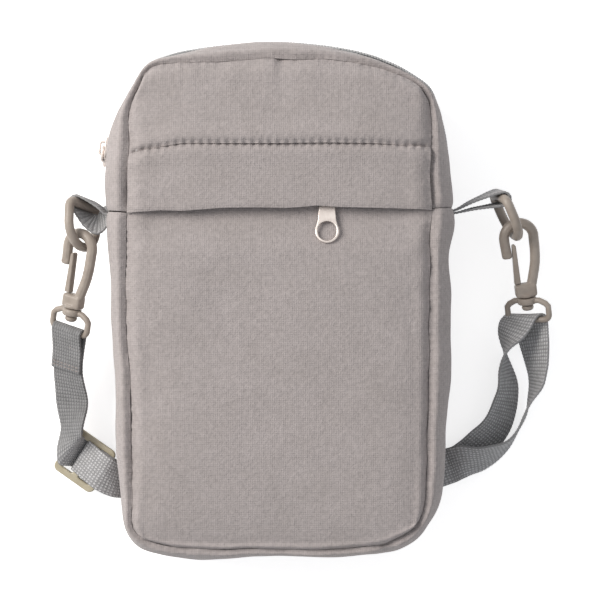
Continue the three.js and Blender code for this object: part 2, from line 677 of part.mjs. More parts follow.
function puller() {
  const end = -PULLER_LENGTH + PULLER_WIDTH / 2;
  const eyeBottom = PULLER_EYE_TOP - PULLER_EYE_LENGTH;
  const top = PULLER_EYE_TOP + PULLER_EYE_WALL;
  const neck = PULLER_NECK_WIDTH / 2;
  const outline = [
    vec(neck, top - neck / 2),
    vec(neck / 2, top),
    vec(-neck / 2, top),
    vec(-neck, top - neck / 2),
    vec(-neck, eyeBottom - PULLER_EYE_WALL),
    ...steps(10).map((share) => {
      const angle = Math.PI * (1 + share);
      return vec((PULLER_WIDTH / 2) * Math.cos(angle), end + (PULLER_WIDTH / 2) * Math.sin(angle));
    }),
    vec(neck, eyeBottom - PULLER_EYE_WALL),
  ];
  const eye = [
    vec(-PULLER_EYE_WIDTH / 2, eyeBottom),
    vec(-PULLER_EYE_WIDTH / 2, PULLER_EYE_TOP),
    vec(PULLER_EYE_WIDTH / 2, PULLER_EYE_TOP),
    vec(PULLER_EYE_WIDTH / 2, eyeBottom),
  ];
  const holeHalf = PULLER_HOLE_WIDTH / 2;
  const hole = roundedRing(holeHalf, end - PULLER_HOLE_LENGTH / 2, end + PULLER_HOLE_LENGTH / 2, 8);
  return plateWithHoles(outline, [hole.reverse(), eye], PULLER_THICKNESS);
}

const squareTo = (direction, axis) => along(direction, [axis, -direction.dot(axis)]).normalize();

// A group placed by an origin and two of its axes; the third is square to them.
function placed(origin, xAxis, yAxis) {
  const group = new THREE.Group();
  const x = xAxis.clone().normalize();
  const z = x.clone().cross(yAxis).normalize();
  const y = z.clone().cross(x);
  group.position.copy(origin);
  group.quaternion.setFromRotationMatrix(new THREE.Matrix4().makeBasis(x, y, z));
  pouch.add(group);
  return group;
}

// The pocket zip's slider is part way along, so that its puller hangs out just right of the middle.
const POCKET_SLIDER_X = 16.9;
const POCKET_PULLER_SLOPE = 12;
const coilTop = coilBottom + COIL_HEIGHT;
const sliderOrigin = vec(POCKET_SLIDER_X, POCKET_ZIP_HEIGHT, coilTop);
add("pocket_slider", slider(), NICKEL, placed(sliderOrigin, vec(1, 0), vec(0, 1)));
const bailHeight = GAP + SLIDER_PLATE + (BAIL_RISE - BAIL_THICKNESS) / 2;
const slope = THREE.MathUtils.degToRad(POCKET_PULLER_SLOPE);
const pullerOrigin = along(sliderOrigin, [vec(1, 0), BAIL_SPAN / 2], [UP, bailHeight]);
const pullerUp = vec(0, Math.cos(slope), -Math.sin(slope));
add("pocket_puller", puller(), NICKEL, placed(pullerOrigin, vec(1, 0), pullerUp));

// The main zip is closed: its slider stands at the end of the track, high on the left side, and its
// puller hangs down the gusset from the slider's bail.
const MAIN_SLIDER_STATION = 14.2;
const coilFace = gussetPoint(MAIN_SLIDER_STATION, 0, MAIN_COIL_DEPTH);
const sideways = gussetPoint(MAIN_SLIDER_STATION, 0, 0).sub(coilFace).normalize();
const closing = crestCurve.getTangent(turn(MAIN_SLIDER_STATION)).normalize();
const mainSliderGroup = placed(coilFace, closing, closing.clone().cross(sideways).negate());
add("main_slider", slider(), NICKEL, mainSliderGroup);
const mainPullerOrigin = along(coilFace, [closing, BAIL_SPAN / 2], [sideways, bailHeight]);
add("main_puller", puller(), NICKEL, placed(mainPullerOrigin, closing.clone().negate(), UP));

// A round wire along points in the local XY plane, closed on itself or open with flat ends.
const WIRE_SIDES = 8;
function wire(points, radius, closed) {
  const count = points.length;
  const at = (i) => points[closed ? (i + count) % count : THREE.MathUtils.clamp(i, 0, count - 1)];
  const rings = points.map((point, i) => {
    const aside = at(i + 1).clone().sub(at(i - 1)).normalize().cross(UP);
    return steps(WIRE_SIDES)
      .slice(0, -1)
      .map((share) => {
        const angle = 2 * Math.PI * (share + 0.5 / WIRE_SIDES);
        return along(point, [aside, radius * Math.cos(angle)], [UP, radius * Math.sin(angle)]);
      });
  });
  return loft(rings, closed);
}
const arc = (centre, radius, from, to, count) =>
  steps(count).map((share) => {
    const angle = THREE.MathUtils.degToRad(mix(from, to, share));
    return along(centre, [vec(Math.cos(angle), Math.sin(angle)), radius]);
  });

// The plastic D-rings, sewn into the tabs by their straight bars. In a ring's own frame the bar lies on
// the X axis and the ring stands out along +Y.
const RING_RADIUS = 2;
const RING_HALF_WIDTH = 10;
const RING_LENGTH = 18;
const RING_CORNER = 3;
function dRing() {
  const low = RING_HALF_WIDTH - RING_CORNER;
  return wire(
    [
      ...arc(vec(low, RING_CORNER), RING_CORNER, -90, 0, 3),
      ...arc(vec(0, RING_LENGTH - RING_HALF_WIDTH), RING_HALF_WIDTH, 0, 180, 10),
      ...arc(vec(-low, RING_CORNER), RING_CORNER, 180, 270, 3),
    ],
    RING_RADIUS,
    true,
  );
}

// The swivel snap hooks. In a hook's own frame +Y runs up its stem's axis from the collar's underside at
// the origin, its spine is at +X, and its nose and gate are at -X.
const HOOK_WIRE_RADIUS = 2.2;
const HOOK_TOP = 32.3;
const HOOK_ARCH_RADIUS = 6.3;
const HOOK_EYE_SHIFT = -0.5;
const HOOK_BASE_HALF_WIDTH = 4.6;
const HOOK_BASE_HEIGHT = 6;
const HOOK_BASE_THICKNESS = 5.4;
const NOSE_END = 18;
const NOSE_END_LEAN = 0.5;
const SPINE_FOOT = 3;
const SPINE_FOOT_SIDE = 2.2;
const STEM_RADIUS = 1.6;
const STEM_LENGTH = 3.6;
const STEM_HEAD_RADIUS = 2.6;
const STEM_HEAD_LENGTH = 2.4;
function hook() {
  const centre = vec(HOOK_EYE_SHIFT, HOOK_TOP - HOOK_ARCH_RADIUS);
  const spineTop = HOOK_EYE_SHIFT + HOOK_ARCH_RADIUS;
  const spine = wire(
    [
      vec(SPINE_FOOT_SIDE, SPINE_FOOT),
      vec(mix(SPINE_FOOT_SIDE, spineTop, 0.4), HOOK_BASE_HEIGHT + HOOK_WIRE_RADIUS),
      vec(mix(SPINE_FOOT_SIDE, spineTop, 0.8), mix(HOOK_BASE_HEIGHT, centre.y, 0.5)),
      ...arc(centre, HOOK_ARCH_RADIUS, -15, 180, 9),
      vec(centre.x - HOOK_ARCH_RADIUS + NOSE_END_LEAN, NOSE_END),
    ],
    HOOK_WIRE_RADIUS,
    false,
  );
  const half = HOOK_BASE_HALF_WIDTH;
  const base = prism(
    [
      vec(-half + HOOK_WIRE_RADIUS / 2, 0),
      vec(half - HOOK_WIRE_RADIUS / 2, 0),
      vec(half, HOOK_WIRE_RADIUS / 2),
      vec(half, HOOK_BASE_HEIGHT),
      vec(-half, HOOK_BASE_HEIGHT),
      vec(-half, HOOK_WIRE_RADIUS / 2),
    ],
    -HOOK_BASE_THICKNESS / 2,
    HOOK_BASE_THICKNESS / 2,
  );
  const stem = new THREE.LatheGeometry(
    [
      vec(0, STEM_RADIUS),
      vec(STEM_RADIUS, STEM_RADIUS),
      vec(STEM_RADIUS, -STEM_LENGTH),
      vec(STEM_HEAD_RADIUS, -STEM_LENGTH),
      vec(STEM_HEAD_RADIUS, -STEM_LENGTH - STEM_HEAD_LENGTH / 2),
      vec(0, -STEM_LENGTH - STEM_HEAD_LENGTH),
    ].reverse(),
    16,
  );
  return join(spine, base, stem);
}

// The gate, a sprung tongue that closes the hook's eye against the inside of its nose.
const GATE_ROOT = vec(-3.2, HOOK_BASE_HEIGHT + 1.2);
const GATE_TIP = vec(-3.1, 23.5);
const GATE_ROOT_HALF_WIDTH = 1.3;
const GATE_TIP_HALF_WIDTH = 0.8;
const GATE_THICKNESS = 3.2;
function gate() {
  const foot = HOOK_BASE_HEIGHT + GAP;
  return prism(
    [
      vec(GATE_ROOT.x + GATE_ROOT_HALF_WIDTH, foot),
      vec(GATE_TIP.x + GATE_TIP_HALF_WIDTH, GATE_TIP.y - GATE_TIP_HALF_WIDTH),
      vec(GATE_TIP.x, GATE_TIP.y),
      vec(GATE_TIP.x - GATE_TIP_HALF_WIDTH, GATE_TIP.y - GATE_TIP_HALF_WIDTH),
      vec(GATE_ROOT.x - GATE_ROOT_HALF_WIDTH, foot),
    ],
    -GATE_THICKNESS / 2,
    GATE_THICKNESS / 2,
  );
}

// The swivel loop that holds the strap. Its boss turns on the hook's stem; its bar is square to it.
const LOOP_BOSS_RADIUS = 4;
const LOOP_BORE_RADIUS = 2;
const LOOP_BOSS_HEIGHT = 2.7;
const LOOP_WIRE_RADIUS = 1.3;
const LOOP_HALF_WIDTH = 9.2;
const LOOP_LENGTH = 10.2;
const LOOP_CORNER = 2.4;
function swivelLoop() {
  const low = -LOOP_LENGTH + LOOP_CORNER;
  const inner = LOOP_HALF_WIDTH - LOOP_CORNER;
  const rootX = (LOOP_BOSS_RADIUS + LOOP_BORE_RADIUS) / 2;
  const rootY = -GAP - LOOP_BOSS_HEIGHT / 2;
  const arms = wire(
    [
      vec(rootX, rootY),
      vec(rootX + LOOP_CORNER, rootY),
      vec(inner + LOOP_CORNER / 2, rootY - LOOP_WIRE_RADIUS),
      vec(LOOP_HALF_WIDTH, rootY - 2 * LOOP_WIRE_RADIUS),
      ...arc(vec(inner, low), LOOP_CORNER, 0, -90, 3),
      ...arc(vec(-inner, low), LOOP_CORNER, 270, 180, 3),
      vec(-LOOP_HALF_WIDTH, rootY - 2 * LOOP_WIRE_RADIUS),
      vec(-inner - LOOP_CORNER / 2, rootY - LOOP_WIRE_RADIUS),
      vec(-rootX - LOOP_CORNER, rootY),
      vec(-rootX, rootY),
    ],
    LOOP_WIRE_RADIUS,
    false,
  );
  const boss = new THREE.LatheGeometry(
    [
      vec(LOOP_BORE_RADIUS, -GAP - LOOP_BOSS_HEIGHT),
      vec(LOOP_BOSS_RADIUS, -GAP - LOOP_BOSS_HEIGHT),
      vec(LOOP_BOSS_RADIUS, -GAP),
      vec(LOOP_BORE_RADIUS, -GAP),
      vec(LOOP_BORE_RADIUS, -GAP - LOOP_BOSS_HEIGHT),
    ],
    16,
  );
  return join(arms, boss);
}

// Where each side's hardware lies. The ring's place is in shares of the bag's half width, half height and
// depth. Then come the way of its bar and the way it hangs, the hook's axis and its own sideways axis,
// its shift along the ring as a share of the ring's half width, and how far its swivel loop is turned.
const RING_TO_HOOK_TOP = 5.5;
const SIDES = [
  {
    name: "left",
    ringShares: [-1.138, 0.367, 0.504],
    ringBar: vec(0.5, -0.2, -0.84),
    ringDown: vec(-0.03, -0.97, 0.23),
    hookUp: vec(0.16, 0.955, 0.25),
    hookAcross: vec(0.822, -0.269, 0.502),
    hookShiftShare: 0,
    loopTurn: 0,
  },
  {
    name: "right",
    ringShares: [1.273, 0.396, 0.5],
    ringBar: vec(-0.202, 0.1265, -0.971),
    ringDown: vec(0.4, -0.895, -0.2),
    hookUp: vec(-0.13, 0.959, 0.25),
    hookAcross: vec(0.983, 0.15, -0.063),
    hookShiftShare: 0.15,
    loopTurn: 30,
  },
];
for (const side of SIDES) {
  const [xShare, yShare, zShare] = side.ringShares;
  side.ringOrigin = vec(xShare * HALF_WIDTH, yShare * HALF_HEIGHT, zShare * BAG_DEPTH);
  const ringFrame = placed(side.ringOrigin, side.ringBar, side.ringDown);
  add("d_ring_" + side.name, dRing(), TAUPE_PLASTIC, ringFrame);
  const ringEnd = along(side.ringOrigin, [side.ringDown.clone().normalize(), RING_LENGTH]);
  const up = side.hookUp.clone().normalize();
  const across = side.hookAcross.clone().normalize();
  const hookShift = side.hookShiftShare * RING_HALF_WIDTH;
  const hookOrigin = along(ringEnd, [up, RING_TO_HOOK_TOP - HOOK_TOP], [across, hookShift]);
  const frame = placed(hookOrigin, squareTo(across, up), up);
  add("hook_" + side.name, hook(), TAUPE_PLASTIC, frame);
  add("gate_" + side.name, gate(), TAUPE_PLASTIC, frame);
  const turnOfLoop = THREE.MathUtils.degToRad(-side.loopTurn);
  const loopAcross = squareTo(across, up).applyAxisAngle(up, turnOfLoop);
  side.loopFrame = placed(hookOrigin, loopAcross, up);
  add("swivel_loop_" + side.name, swivelLoop(), TAUPE_PLASTIC, side.loopFrame);
}

// Webbing is a ribbon over stations. Each has a centre, a half width across it and the way its face looks.
const HALF_WEBBING = WEBBING_WIDTH / 2;
function ribbon(stations) {
  return loft(
    stations.map(({ centre, across, face }) => {
      const corner = (side, rise) => along(centre, [across, side], [face, (rise * WEBBING_THICKNESS) / 2]);
      return [corner(1, 1), corner(-1, 1), corner(-1, -1), corner(1, -1)];
    }),
  );
}

// Stations of a free run through marks, eased between them. A mark has a centre, the direction of the
// webbing's width and, where the webbing is pinched, the share of its width that is left.
function freeRun(given, perSpan) {
  const marks = given.map((mark) => ({ ...mark, across: mark.across.clone() }));
  marks.slice(1).forEach((mark, i) => {
    if (mark.across.dot(marks[i].across) < 0) mark.across.negate();
  });
  const centres = new THREE.CatmullRomCurve3(marks.map((mark) => mark.centre), false, "centripetal");
  const spans = marks.length - 1;
  return steps(spans * perSpan).map((share) => {
    const place = Math.min(share * spans, spans - 1e-9);
    const before = Math.floor(place);
    const part = place - before;
    const tangent = centres.getTangent(share).normalize();
    const blended = marks[before].across.clone().lerp(marks[before + 1].across, part);
    const across = squareTo(blended, tangent);
    const widthShare = mix(marks[before].widthShare ?? 1, marks[before + 1].widthShare ?? 1, part);
    return {
      centre: centres.getPoint(share),
      across: across.clone().multiplyScalar(HALF_WEBBING * widthShare),
      face: tangent.cross(across),
    };
  });
}

// A tab's webbing goes out of its cross seam, round the ring's bar and back, both ends in the seam.
const TAB_WRAP_RADIUS = RING_RADIUS + GAP + WEBBING_THICKNESS / 2;
const TAB_ROOT_INSET = 1.6;
const LEAD_SHARE = 0.45;
const WRAP_WIDTH_SHARE = 0.9;
const TAB_PINCH_SHARE = 0.7;
const TAB_LEAD_LIFT = 1.8;
SIDES.forEach((side, i) => {
  const crest = crossSeam[side.name === "left" ? 1 : 0];
  const outward = Math.sign(crest.x);
  const bar = side.ringBar.clone().normalize();
  const root = (layer) =>
    vec(
      crest.x - outward * TAB_ROOT_INSET,
      crest.y - GAP - TAB_STACK / 2 + (layer * (WEBBING_THICKNESS + GAP / 2)) / 2,
      crest.z,
    );
  const toBar = squareTo(side.ringOrigin.clone().sub(root(0)), bar);
  const over = bar.clone().cross(toBar);
  const sign = Math.sign(over.y) || 1;
  const wrap = steps(8).map((share) => {
    const angle = Math.PI * (share - 0.5);
    const radial = along(vec(0, 0), [toBar, Math.cos(angle)], [over, -sign * Math.sin(angle)]);
    return { radial, centre: along(side.ringOrigin, [radial, TAB_WRAP_RADIUS]) };
  });
  const across = bar.z < 0 ? bar.clone().negate() : bar;
  const lead = (layer, end) => ({
    centre: root(layer).lerp(end, LEAD_SHARE).add(vec(0, 0, TAB_LEAD_LIFT)),
    across: UP.clone().lerp(across, LEAD_SHARE),
    widthShare: TAB_PINCH_SHARE,
  });
  const mouth = (layer) => ({
    centre: root(layer).add(vec(outward * (TAB_ROOT_INSET + GAP), 0)),
    across: UP.clone(),
    widthShare: WRAP_WIDTH_SHARE,
  });
  const marks = [
    { centre: root(1), across: UP.clone() },
    mouth(1),
    lead(1, wrap[0].centre),
    ...wrap.map(({ centre }) => ({ centre, across, widthShare: WRAP_WIDTH_SHARE })),
    lead(-1, wrap[8].centre),
    mouth(-1),
    { centre: root(-1), across: UP.clone() },
  ];
  add("tab_" + side.name, ribbon(freeRun(marks, 1)), WEBBING);
});

// The slotted adjuster near the strap's lower left end. In its own frame the webbing travels along X, the
// bars lie along Y, and Z is its face.
const ADJUSTER_LENGTH = 20.5;
const ADJUSTER_WIDTH = 21.5;
const ADJUSTER_THICKNESS = 2.2;
const ADJUSTER_BAR = 2.8;
const ADJUSTER_CORNER = 2.5;
const ADJUSTER_SLOT_WIDTH = 15.8;
function adjuster() {
  const halfLength = ADJUSTER_LENGTH / 2 - ADJUSTER_CORNER;
  const halfWidth = ADJUSTER_WIDTH / 2 - ADJUSTER_CORNER;
  const outline = [
    ...arc(vec(halfLength, halfWidth), ADJUSTER_CORNER, 0, 90, 4),
    ...arc(vec(-halfLength, halfWidth), ADJUSTER_CORNER, 90, 180, 4),
    ...arc(vec(-halfLength, -halfWidth), ADJUSTER_CORNER, 180, 270, 4),
    ...arc(vec(halfLength, -halfWidth), ADJUSTER_CORNER, 270, 360, 4),
  ];
  const slots = [-1, 1].map((side) => {
    const inner = (side * ADJUSTER_BAR) / 2;
    const outer = side * (ADJUSTER_LENGTH / 2 - ADJUSTER_BAR);
    const middle = (inner + outer) / 2;
    const end = ADJUSTER_SLOT_WIDTH / 2;
    return [
      vec(inner, -end),
      vec(inner, end),
      vec(middle, end + GAP),
      vec(outer, end),
      vec(outer, -end),
      vec(middle, -end - GAP),
    ];
  });
  return plateWithHoles(outline, slots, ADJUSTER_THICKNESS);
}
const ADJUSTER_PLACE_SHARES = [-1.152, -0.631, 0.12];
const ADJUSTER_ORIGIN = vec(
  ADJUSTER_PLACE_SHARES[0] * HALF_WIDTH,
  ADJUSTER_PLACE_SHARES[1] * HALF_HEIGHT,
  ADJUSTER_PLACE_SHARES[2] * BAG_DEPTH,
);
const ADJUSTER_TRAVEL = vec(0.8195, -0.5616, 0.12);
const ADJUSTER_BARS = vec(0.534, 0.822, 0.2);
const adjusterFrame = placed(ADJUSTER_ORIGIN, ADJUSTER_TRAVEL, ADJUSTER_BARS);
add("strap_adjuster", adjuster(), CREAM_PLASTIC, adjusterFrame);

// The strap is one length of webbing. From its end sewn round the adjuster's middle bar it runs under the
// bag to the right swivel loop, turns back under the bag, threads the adjuster, and ends sewn round the
// left swivel loop.
const LAYER = WEBBING_THICKNESS + GAP;
const ON_TABLE = WEBBING_THICKNESS / 2;
const level = (layer) => ON_TABLE + layer * LAYER;

// The stretch under the bag. At each fold the webbing turns over a crease half way between its two
// directions, and climbs from one layer to another. It holds that layer for a share of the webbing's
// width, then comes down to its layer on the table.
const SETTLE_LENGTH = 6;
function foldedRun(start, holdShares, folds) {
  const stations = [];
  let face = 1;
  let across = null;
  const put = (centre, height, width, normal) => {
    across = across && across.dot(width) < 0 ? width.clone().negate() : width.clone();
    stations.push({ centre: centre.clone().setZ(height), across, face: normal });
  };
  let layer = start;
  STRAP_ROUTE.forEach((corner, i) => {
    const before = i > 0 ? corner.clone().sub(STRAP_ROUTE[i - 1]).normalize() : null;
    const after = i < STRAP_ROUTE.length - 1 ? STRAP_ROUTE[i + 1].clone().sub(corner).normalize() : null;
    const flat = UP.clone().multiplyScalar(face);
    if (!before || !after) {
      const travel = before ?? after;
      put(corner, level(layer), UP.clone().cross(travel).multiplyScalar(HALF_WEBBING), flat);
      return;
    }
    const crease = before.clone().add(after).normalize();
    const opening = before.angleTo(crease);
    const outward = squareTo(before, crease);
    const setBack = HALF_WEBBING / Math.tan(opening);
    const [low, high] = folds[i - 1];
    const radius = (level(high) - level(low)) / 2;
    const width = (travel) => UP.clone().cross(travel).multiplyScalar(HALF_WEBBING);
    put(along(corner, [before, -setBack]), level(low), width(before), flat);
    for (const angle of [0, 45, 90, 135, 180].map(THREE.MathUtils.degToRad)) {
      const height = level(low) + radius * (1 - Math.cos(angle));
      const centre = along(corner, [outward, radius * Math.sin(angle)]);
      const normal = along(vec(0, 0), [UP, face * Math.cos(angle)], [outward, -face * Math.sin(angle)]);
      put(centre, height, crease.clone().multiplyScalar(HALF_WEBBING / Math.sin(opening)), normal);
    }
    face = -face;
    const turned = UP.clone().multiplyScalar(face);
    put(along(corner, [after, setBack]), level(high), width(after), turned);
    const [holdShare, next] = holdShares[i - 1];
    const hold = holdShare * WEBBING_WIDTH;
    put(along(corner, [after, hold]), level(high), width(after), turned);
    put(along(corner, [after, hold + SETTLE_LENGTH]), level(next), width(after), turned);
    layer = next;
  });
  return stations;
}
const LOWER_HOLD_SHARES = [
  [1.6, 1],
  [2.8, 0],
  [1.2, 1],
];
const UPPER_HOLD_SHARES = [
  [1.333, 0],
  [3.067, 1],
  [0.933, 0],
];
const [OUTER_FOLD, INNER_FOLD] = [
  [0, 3],
  [1, 2],
];
const lowerRun = foldedRun(0, LOWER_HOLD_SHARES, [OUTER_FOLD, INNER_FOLD, OUTER_FOLD]);
const upperRun = foldedRun(1, UPPER_HOLD_SHARES, [INNER_FOLD, OUTER_FOLD, INNER_FOLD]);
add("strap_under_lower", ribbon(lowerRun), WEBBING);
add("strap_under_upper", ribbon(upperRun), WEBBING);

// The webbing's wrap round a loop's bar: a half turn, from behind the bar to its front.
const LOOP_WRAP_RADIUS = LOOP_WIRE_RADIUS + GAP + WEBBING_THICKNESS / 2;
const inFrame = (frame, x, y, z) => {
  frame.updateMatrixWorld(true);
  return vec(x, y, z).applyMatrix4(frame.matrixWorld);
};
const axisOf = (frame, x, y, z) => {
  frame.updateMatrixWorld(true);
  return vec(x, y, z).transformDirection(frame.matrixWorld);
};
const WRAP_SPANS = 6;
function loopWrap(side) {
  const bar = inFrame(side.loopFrame, 0, -LOOP_LENGTH, 0);
  const axis = axisOf(side.loopFrame, 1, 0, 0);
  const down = axisOf(side.loopFrame, 0, -1, 0);
  const front = axisOf(side.loopFrame, 0, 0, 1);
  const marks = steps(WRAP_SPANS).map((share) => {
    const angle = Math.PI * (share - 0.5);
    const [up, out] = [-Math.cos(angle), Math.sin(angle)].map((part) => part * LOOP_WRAP_RADIUS);
    return { centre: along(bar, [down, up], [front, out]), across: axis };
  });
  return { bar, axis, down, front, marks };
}
const [leftLoop, rightLoop] = SIDES.map(loopWrap);

// A mark inside the adjuster, in shares of its half length and of its thickness.
const bars = axisOf(adjusterFrame, 0, 1, 0);
const weave = ([xShare, zShare]) => ({
  centre: inFrame(adjusterFrame, (xShare * ADJUSTER_LENGTH) / 2, 0, zShare * ADJUSTER_THICKNESS),
  across: bars,
});

// A mark held by hand, in shares of the bag's half width, half height and depth.
const heldPoint = ([xShare, yShare, zShare]) =>
  vec(xShare * HALF_WIDTH, yShare * HALF_HEIGHT, zShare * BAG_DEPTH);

// The left run, from its end, sewn on in front, over the left loop's bar and down behind to the adjuster.
const SEWN_END = 17;
const LEFT_RUN_SHARES = [
  [-1.229, -0.393, 0.232],
  [-1.251, -0.497, 0.212],
];
const LEFT_WEAVE_SHARES = [
  [-1.2, 1.64],
  [-0.859, 1],
  [-0.654, 0.864],
  [-0.498, 0],
  [-0.39, -0.909],
  [-0.195, -1.5],
  [0, -1.545],
];
const leftLayer = (length, rise) => ({
  centre: along(leftLoop.bar, [leftLoop.down, length], [leftLoop.axis, length / 10], [leftLoop.front, rise]),
  across: leftLoop.axis,
});
const leftMarks = [
  leftLayer(SEWN_END, LAYER / 2),
  leftLayer(SEWN_END / 2, LAYER / 2),
  ...leftLoop.marks.slice().reverse(),
  leftLayer(SEWN_END / 2, -LAYER / 2 - GAP),
  leftLayer(SEWN_END, -LAYER / 2 - GAP),
  { centre: heldPoint(LEFT_RUN_SHARES[0]), across: leftLoop.axis },
  { centre: heldPoint(LEFT_RUN_SHARES[1]), across: bars.clone().lerp(leftLoop.axis, 0.4) },
  ...LEFT_WEAVE_SHARES.map(weave),
];
add("strap_left_run", ribbon(freeRun(leftMarks, 2)), WEBBING);

// The same webbing goes on from under the adjuster's middle bar, over its third bar and under the bag,
// where it becomes the lower of the two hidden runs. A mark on the way there is in shares of the
// webbing's width, back along the route, and of the hollow's depth.
const towardsBag = STRAP_ROUTE[1].clone().sub(STRAP_ROUTE[0]).normalize();
const flatAcross = (travel) => UP.clone().cross(travel).normalize();
const onRoute = (distance, height) => ({
  centre: along(STRAP_ROUTE[0], [towardsBag, -distance]).setZ(height),
  across: flatAcross(towardsBag),
});
const approach = ([distanceShare, heightShare]) =>
  onRoute(distanceShare * WEBBING_WIDTH, heightShare * HOLLOW_DEPTH);
const SLIDER_WEAVE_SHARES = [
  [0.029, -1.545],
  [0.195, -1.455],
  [0.41, -0.636],
  [0.585, 0.409],
  [0.839, 0.909],
  [1.054, 0.705],
];
const SLIDER_APPROACH_SHARES = [
  [0.8, 0.877],
  [0.547, 0.474],
  [0.367, 0.237],
  [0.133, 0.105],
];
const sliderMarks = [
  ...SLIDER_WEAVE_SHARES.map(weave),
  ...SLIDER_APPROACH_SHARES.map(approach),
  onRoute(GAP, level(0)),
];
add("strap_slider_run", ribbon(freeRun(sliderMarks, 2)), WEBBING);

// The strap's other end is sewn in a loop round the middle bar, its tail lying between the two runs.
const SEWN_WEAVE_SHARES = [
  [1.073, 1.591],
  [0.839, 1.545],
  [0.546, 1.136],
  [0.341, -0.182],
  [0.156, -0.864],
  [-0.098, -0.886],
  [-0.254, -0.273],
  [-0.234, 0.545],
  [0, 0.955],
  [0.39, 1.636],
  [0.839, 2.182],
  [1.054, 2.091],
];
const SEWN_APPROACH_SHARES = [
  [0.84, 1.579],
  [0.547, 0.684],
  [0.367, 0.474],
  [0.133, 0.333],
];
const sewnMarks = [
  ...SEWN_WEAVE_SHARES.map(weave),
  ...SEWN_APPROACH_SHARES.map(approach),
  onRoute(GAP, level(1)),
];
add("strap_sewn_end", ribbon(freeRun(sewnMarks, 2)), WEBBING);

// The right runs. The inner one is the lower hidden run come out; it goes up to the front of the right
// loop's bar, wraps it and comes down behind as the outer run, which is the upper hidden run. Each mark
// has its place in shares and the angle by which the webbing's width is tilted up from flat.
const end = (run) => run[run.length - 1].centre.clone();
const away = STRAP_ROUTE[4].clone().sub(STRAP_ROUTE[3]).normalize();
function heldMarks(places) {
  const points = places.map(heldPoint);
  return points.map((centre, i) => {
    const travel = points[Math.min(i + 1, points.length - 1)].clone().sub(points[Math.max(i - 1, 0)]);
    const tilt = THREE.MathUtils.degToRad(places[i][3]);
    const across = along(vec(0, 0), [flatAcross(travel), Math.cos(tilt)], [UP, Math.sin(tilt)]);
    return { centre, across };
  });
}
const leaving = (run, lift) =>
  [GAP, SETTLE_LENGTH / 2].map((length, i) => ({
    centre: along(end(run), [away, length], [UP, i * lift]),
    across: flatAcross(away),
  }));
const INNER_RUN_SHARES = [
  [1.076, -0.632, 0.062, 9],
  [1.172, -0.575, 0.104, 20],
  [1.277, -0.492, 0.14, 35],
  [1.326, -0.394, 0.18, 45],
  [1.338, -0.335, 0.19, 53],
  [1.319, -0.264, 0.2, 65],
  [1.3, -0.21, 0.2, 84],
  [1.345, -0.175, 0.27, 120],
];
const innerMarks = [
  ...leaving(upperRun, GAP / 2),
  ...heldMarks(INNER_RUN_SHARES),
  {
    centre: along(rightLoop.bar, [rightLoop.down, WEBBING_WIDTH / 4], [rightLoop.front, LOOP_WRAP_RADIUS]),
    across: rightLoop.axis,
  },
  ...rightLoop.marks.slice().reverse(),
];
add("strap_right_inner", ribbon(freeRun(innerMarks, 2)), WEBBING);

const OUTER_RUN_SHARES = [
  [1.076, -0.634, 0.14, 24],
  [1.178, -0.625, 0.15, 46],
  [1.268, -0.599, 0.14, 60],
  [1.343, -0.564, 0.15, 78],
  [1.403, -0.505, 0.16, 85],
  [1.439, -0.453, 0.17, 80],
  [1.468, -0.394, 0.18, 90],
  [1.503, -0.335, 0.18, 107],
  [1.509, -0.276, 0.19, 117],
  [1.501, -0.217, 0.2, 131],
  [1.49, -0.165, 0.21, 140],
];
const outerMarks = [
  ...leaving(lowerRun, 2 * GAP),
  ...heldMarks(OUTER_RUN_SHARES),
  ...[WEBBING_WIDTH / 4, GAP].map((length) => ({
    centre: along(rightLoop.marks[0].centre, [rightLoop.down, length]),
    across: rightLoop.axis,
  })),
];
add("strap_right_outer", ribbon(freeRun(outerMarks, 2)), WEBBING);

export default pouch;
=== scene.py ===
# %% [markdown]
# # A padded tech pouch, dressed over its CAD frame
#
# The pouch lies on its back with its strap folded under it. Its CAD solids already have the right places
# and sizes, so this lesson gives each of them the surface of the real thing: puffed fabric with sewn
# grooves, ribbed webbing, moulded plastic hooks and plated zip pullers. Sizes are in millimetres, and
# are turned to Blender's metres where a mesh is made.

# %% Load the frame
import functools
import json
import math

import bpy
import numpy as np
from mathutils import Matrix, Vector, noise

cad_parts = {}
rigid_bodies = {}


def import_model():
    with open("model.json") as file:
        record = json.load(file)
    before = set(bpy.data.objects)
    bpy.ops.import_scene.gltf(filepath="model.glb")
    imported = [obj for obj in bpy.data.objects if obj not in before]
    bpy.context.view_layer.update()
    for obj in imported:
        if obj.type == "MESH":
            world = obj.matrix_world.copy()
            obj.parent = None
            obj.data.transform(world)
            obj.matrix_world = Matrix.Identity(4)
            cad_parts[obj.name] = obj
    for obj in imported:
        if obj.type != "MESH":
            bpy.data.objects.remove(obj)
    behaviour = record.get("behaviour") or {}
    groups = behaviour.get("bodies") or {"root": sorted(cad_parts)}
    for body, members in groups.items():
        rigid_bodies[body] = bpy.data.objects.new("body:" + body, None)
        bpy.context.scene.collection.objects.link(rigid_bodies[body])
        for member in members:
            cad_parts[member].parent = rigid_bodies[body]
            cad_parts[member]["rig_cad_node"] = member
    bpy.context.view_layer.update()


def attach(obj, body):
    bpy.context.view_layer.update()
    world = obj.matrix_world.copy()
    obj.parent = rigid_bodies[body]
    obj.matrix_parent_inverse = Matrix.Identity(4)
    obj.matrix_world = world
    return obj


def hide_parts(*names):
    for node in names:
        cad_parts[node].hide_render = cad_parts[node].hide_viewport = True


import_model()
MM = 0.001
X_AXIS, Y_AXIS, UP = np.eye(3)

# %% [markdown]
# ## Camera, light and table
#
# The photograph looks straight down from about a metre. A long lens at that height keeps the sides of
# the bag as narrow as they are there. Light comes from a pale room, with one big soft lamp at the upper
# left, so the left side of each roll of fabric is paler. The table is white to the camera, and to the
# metal that mirrors it, and still takes the shadow.

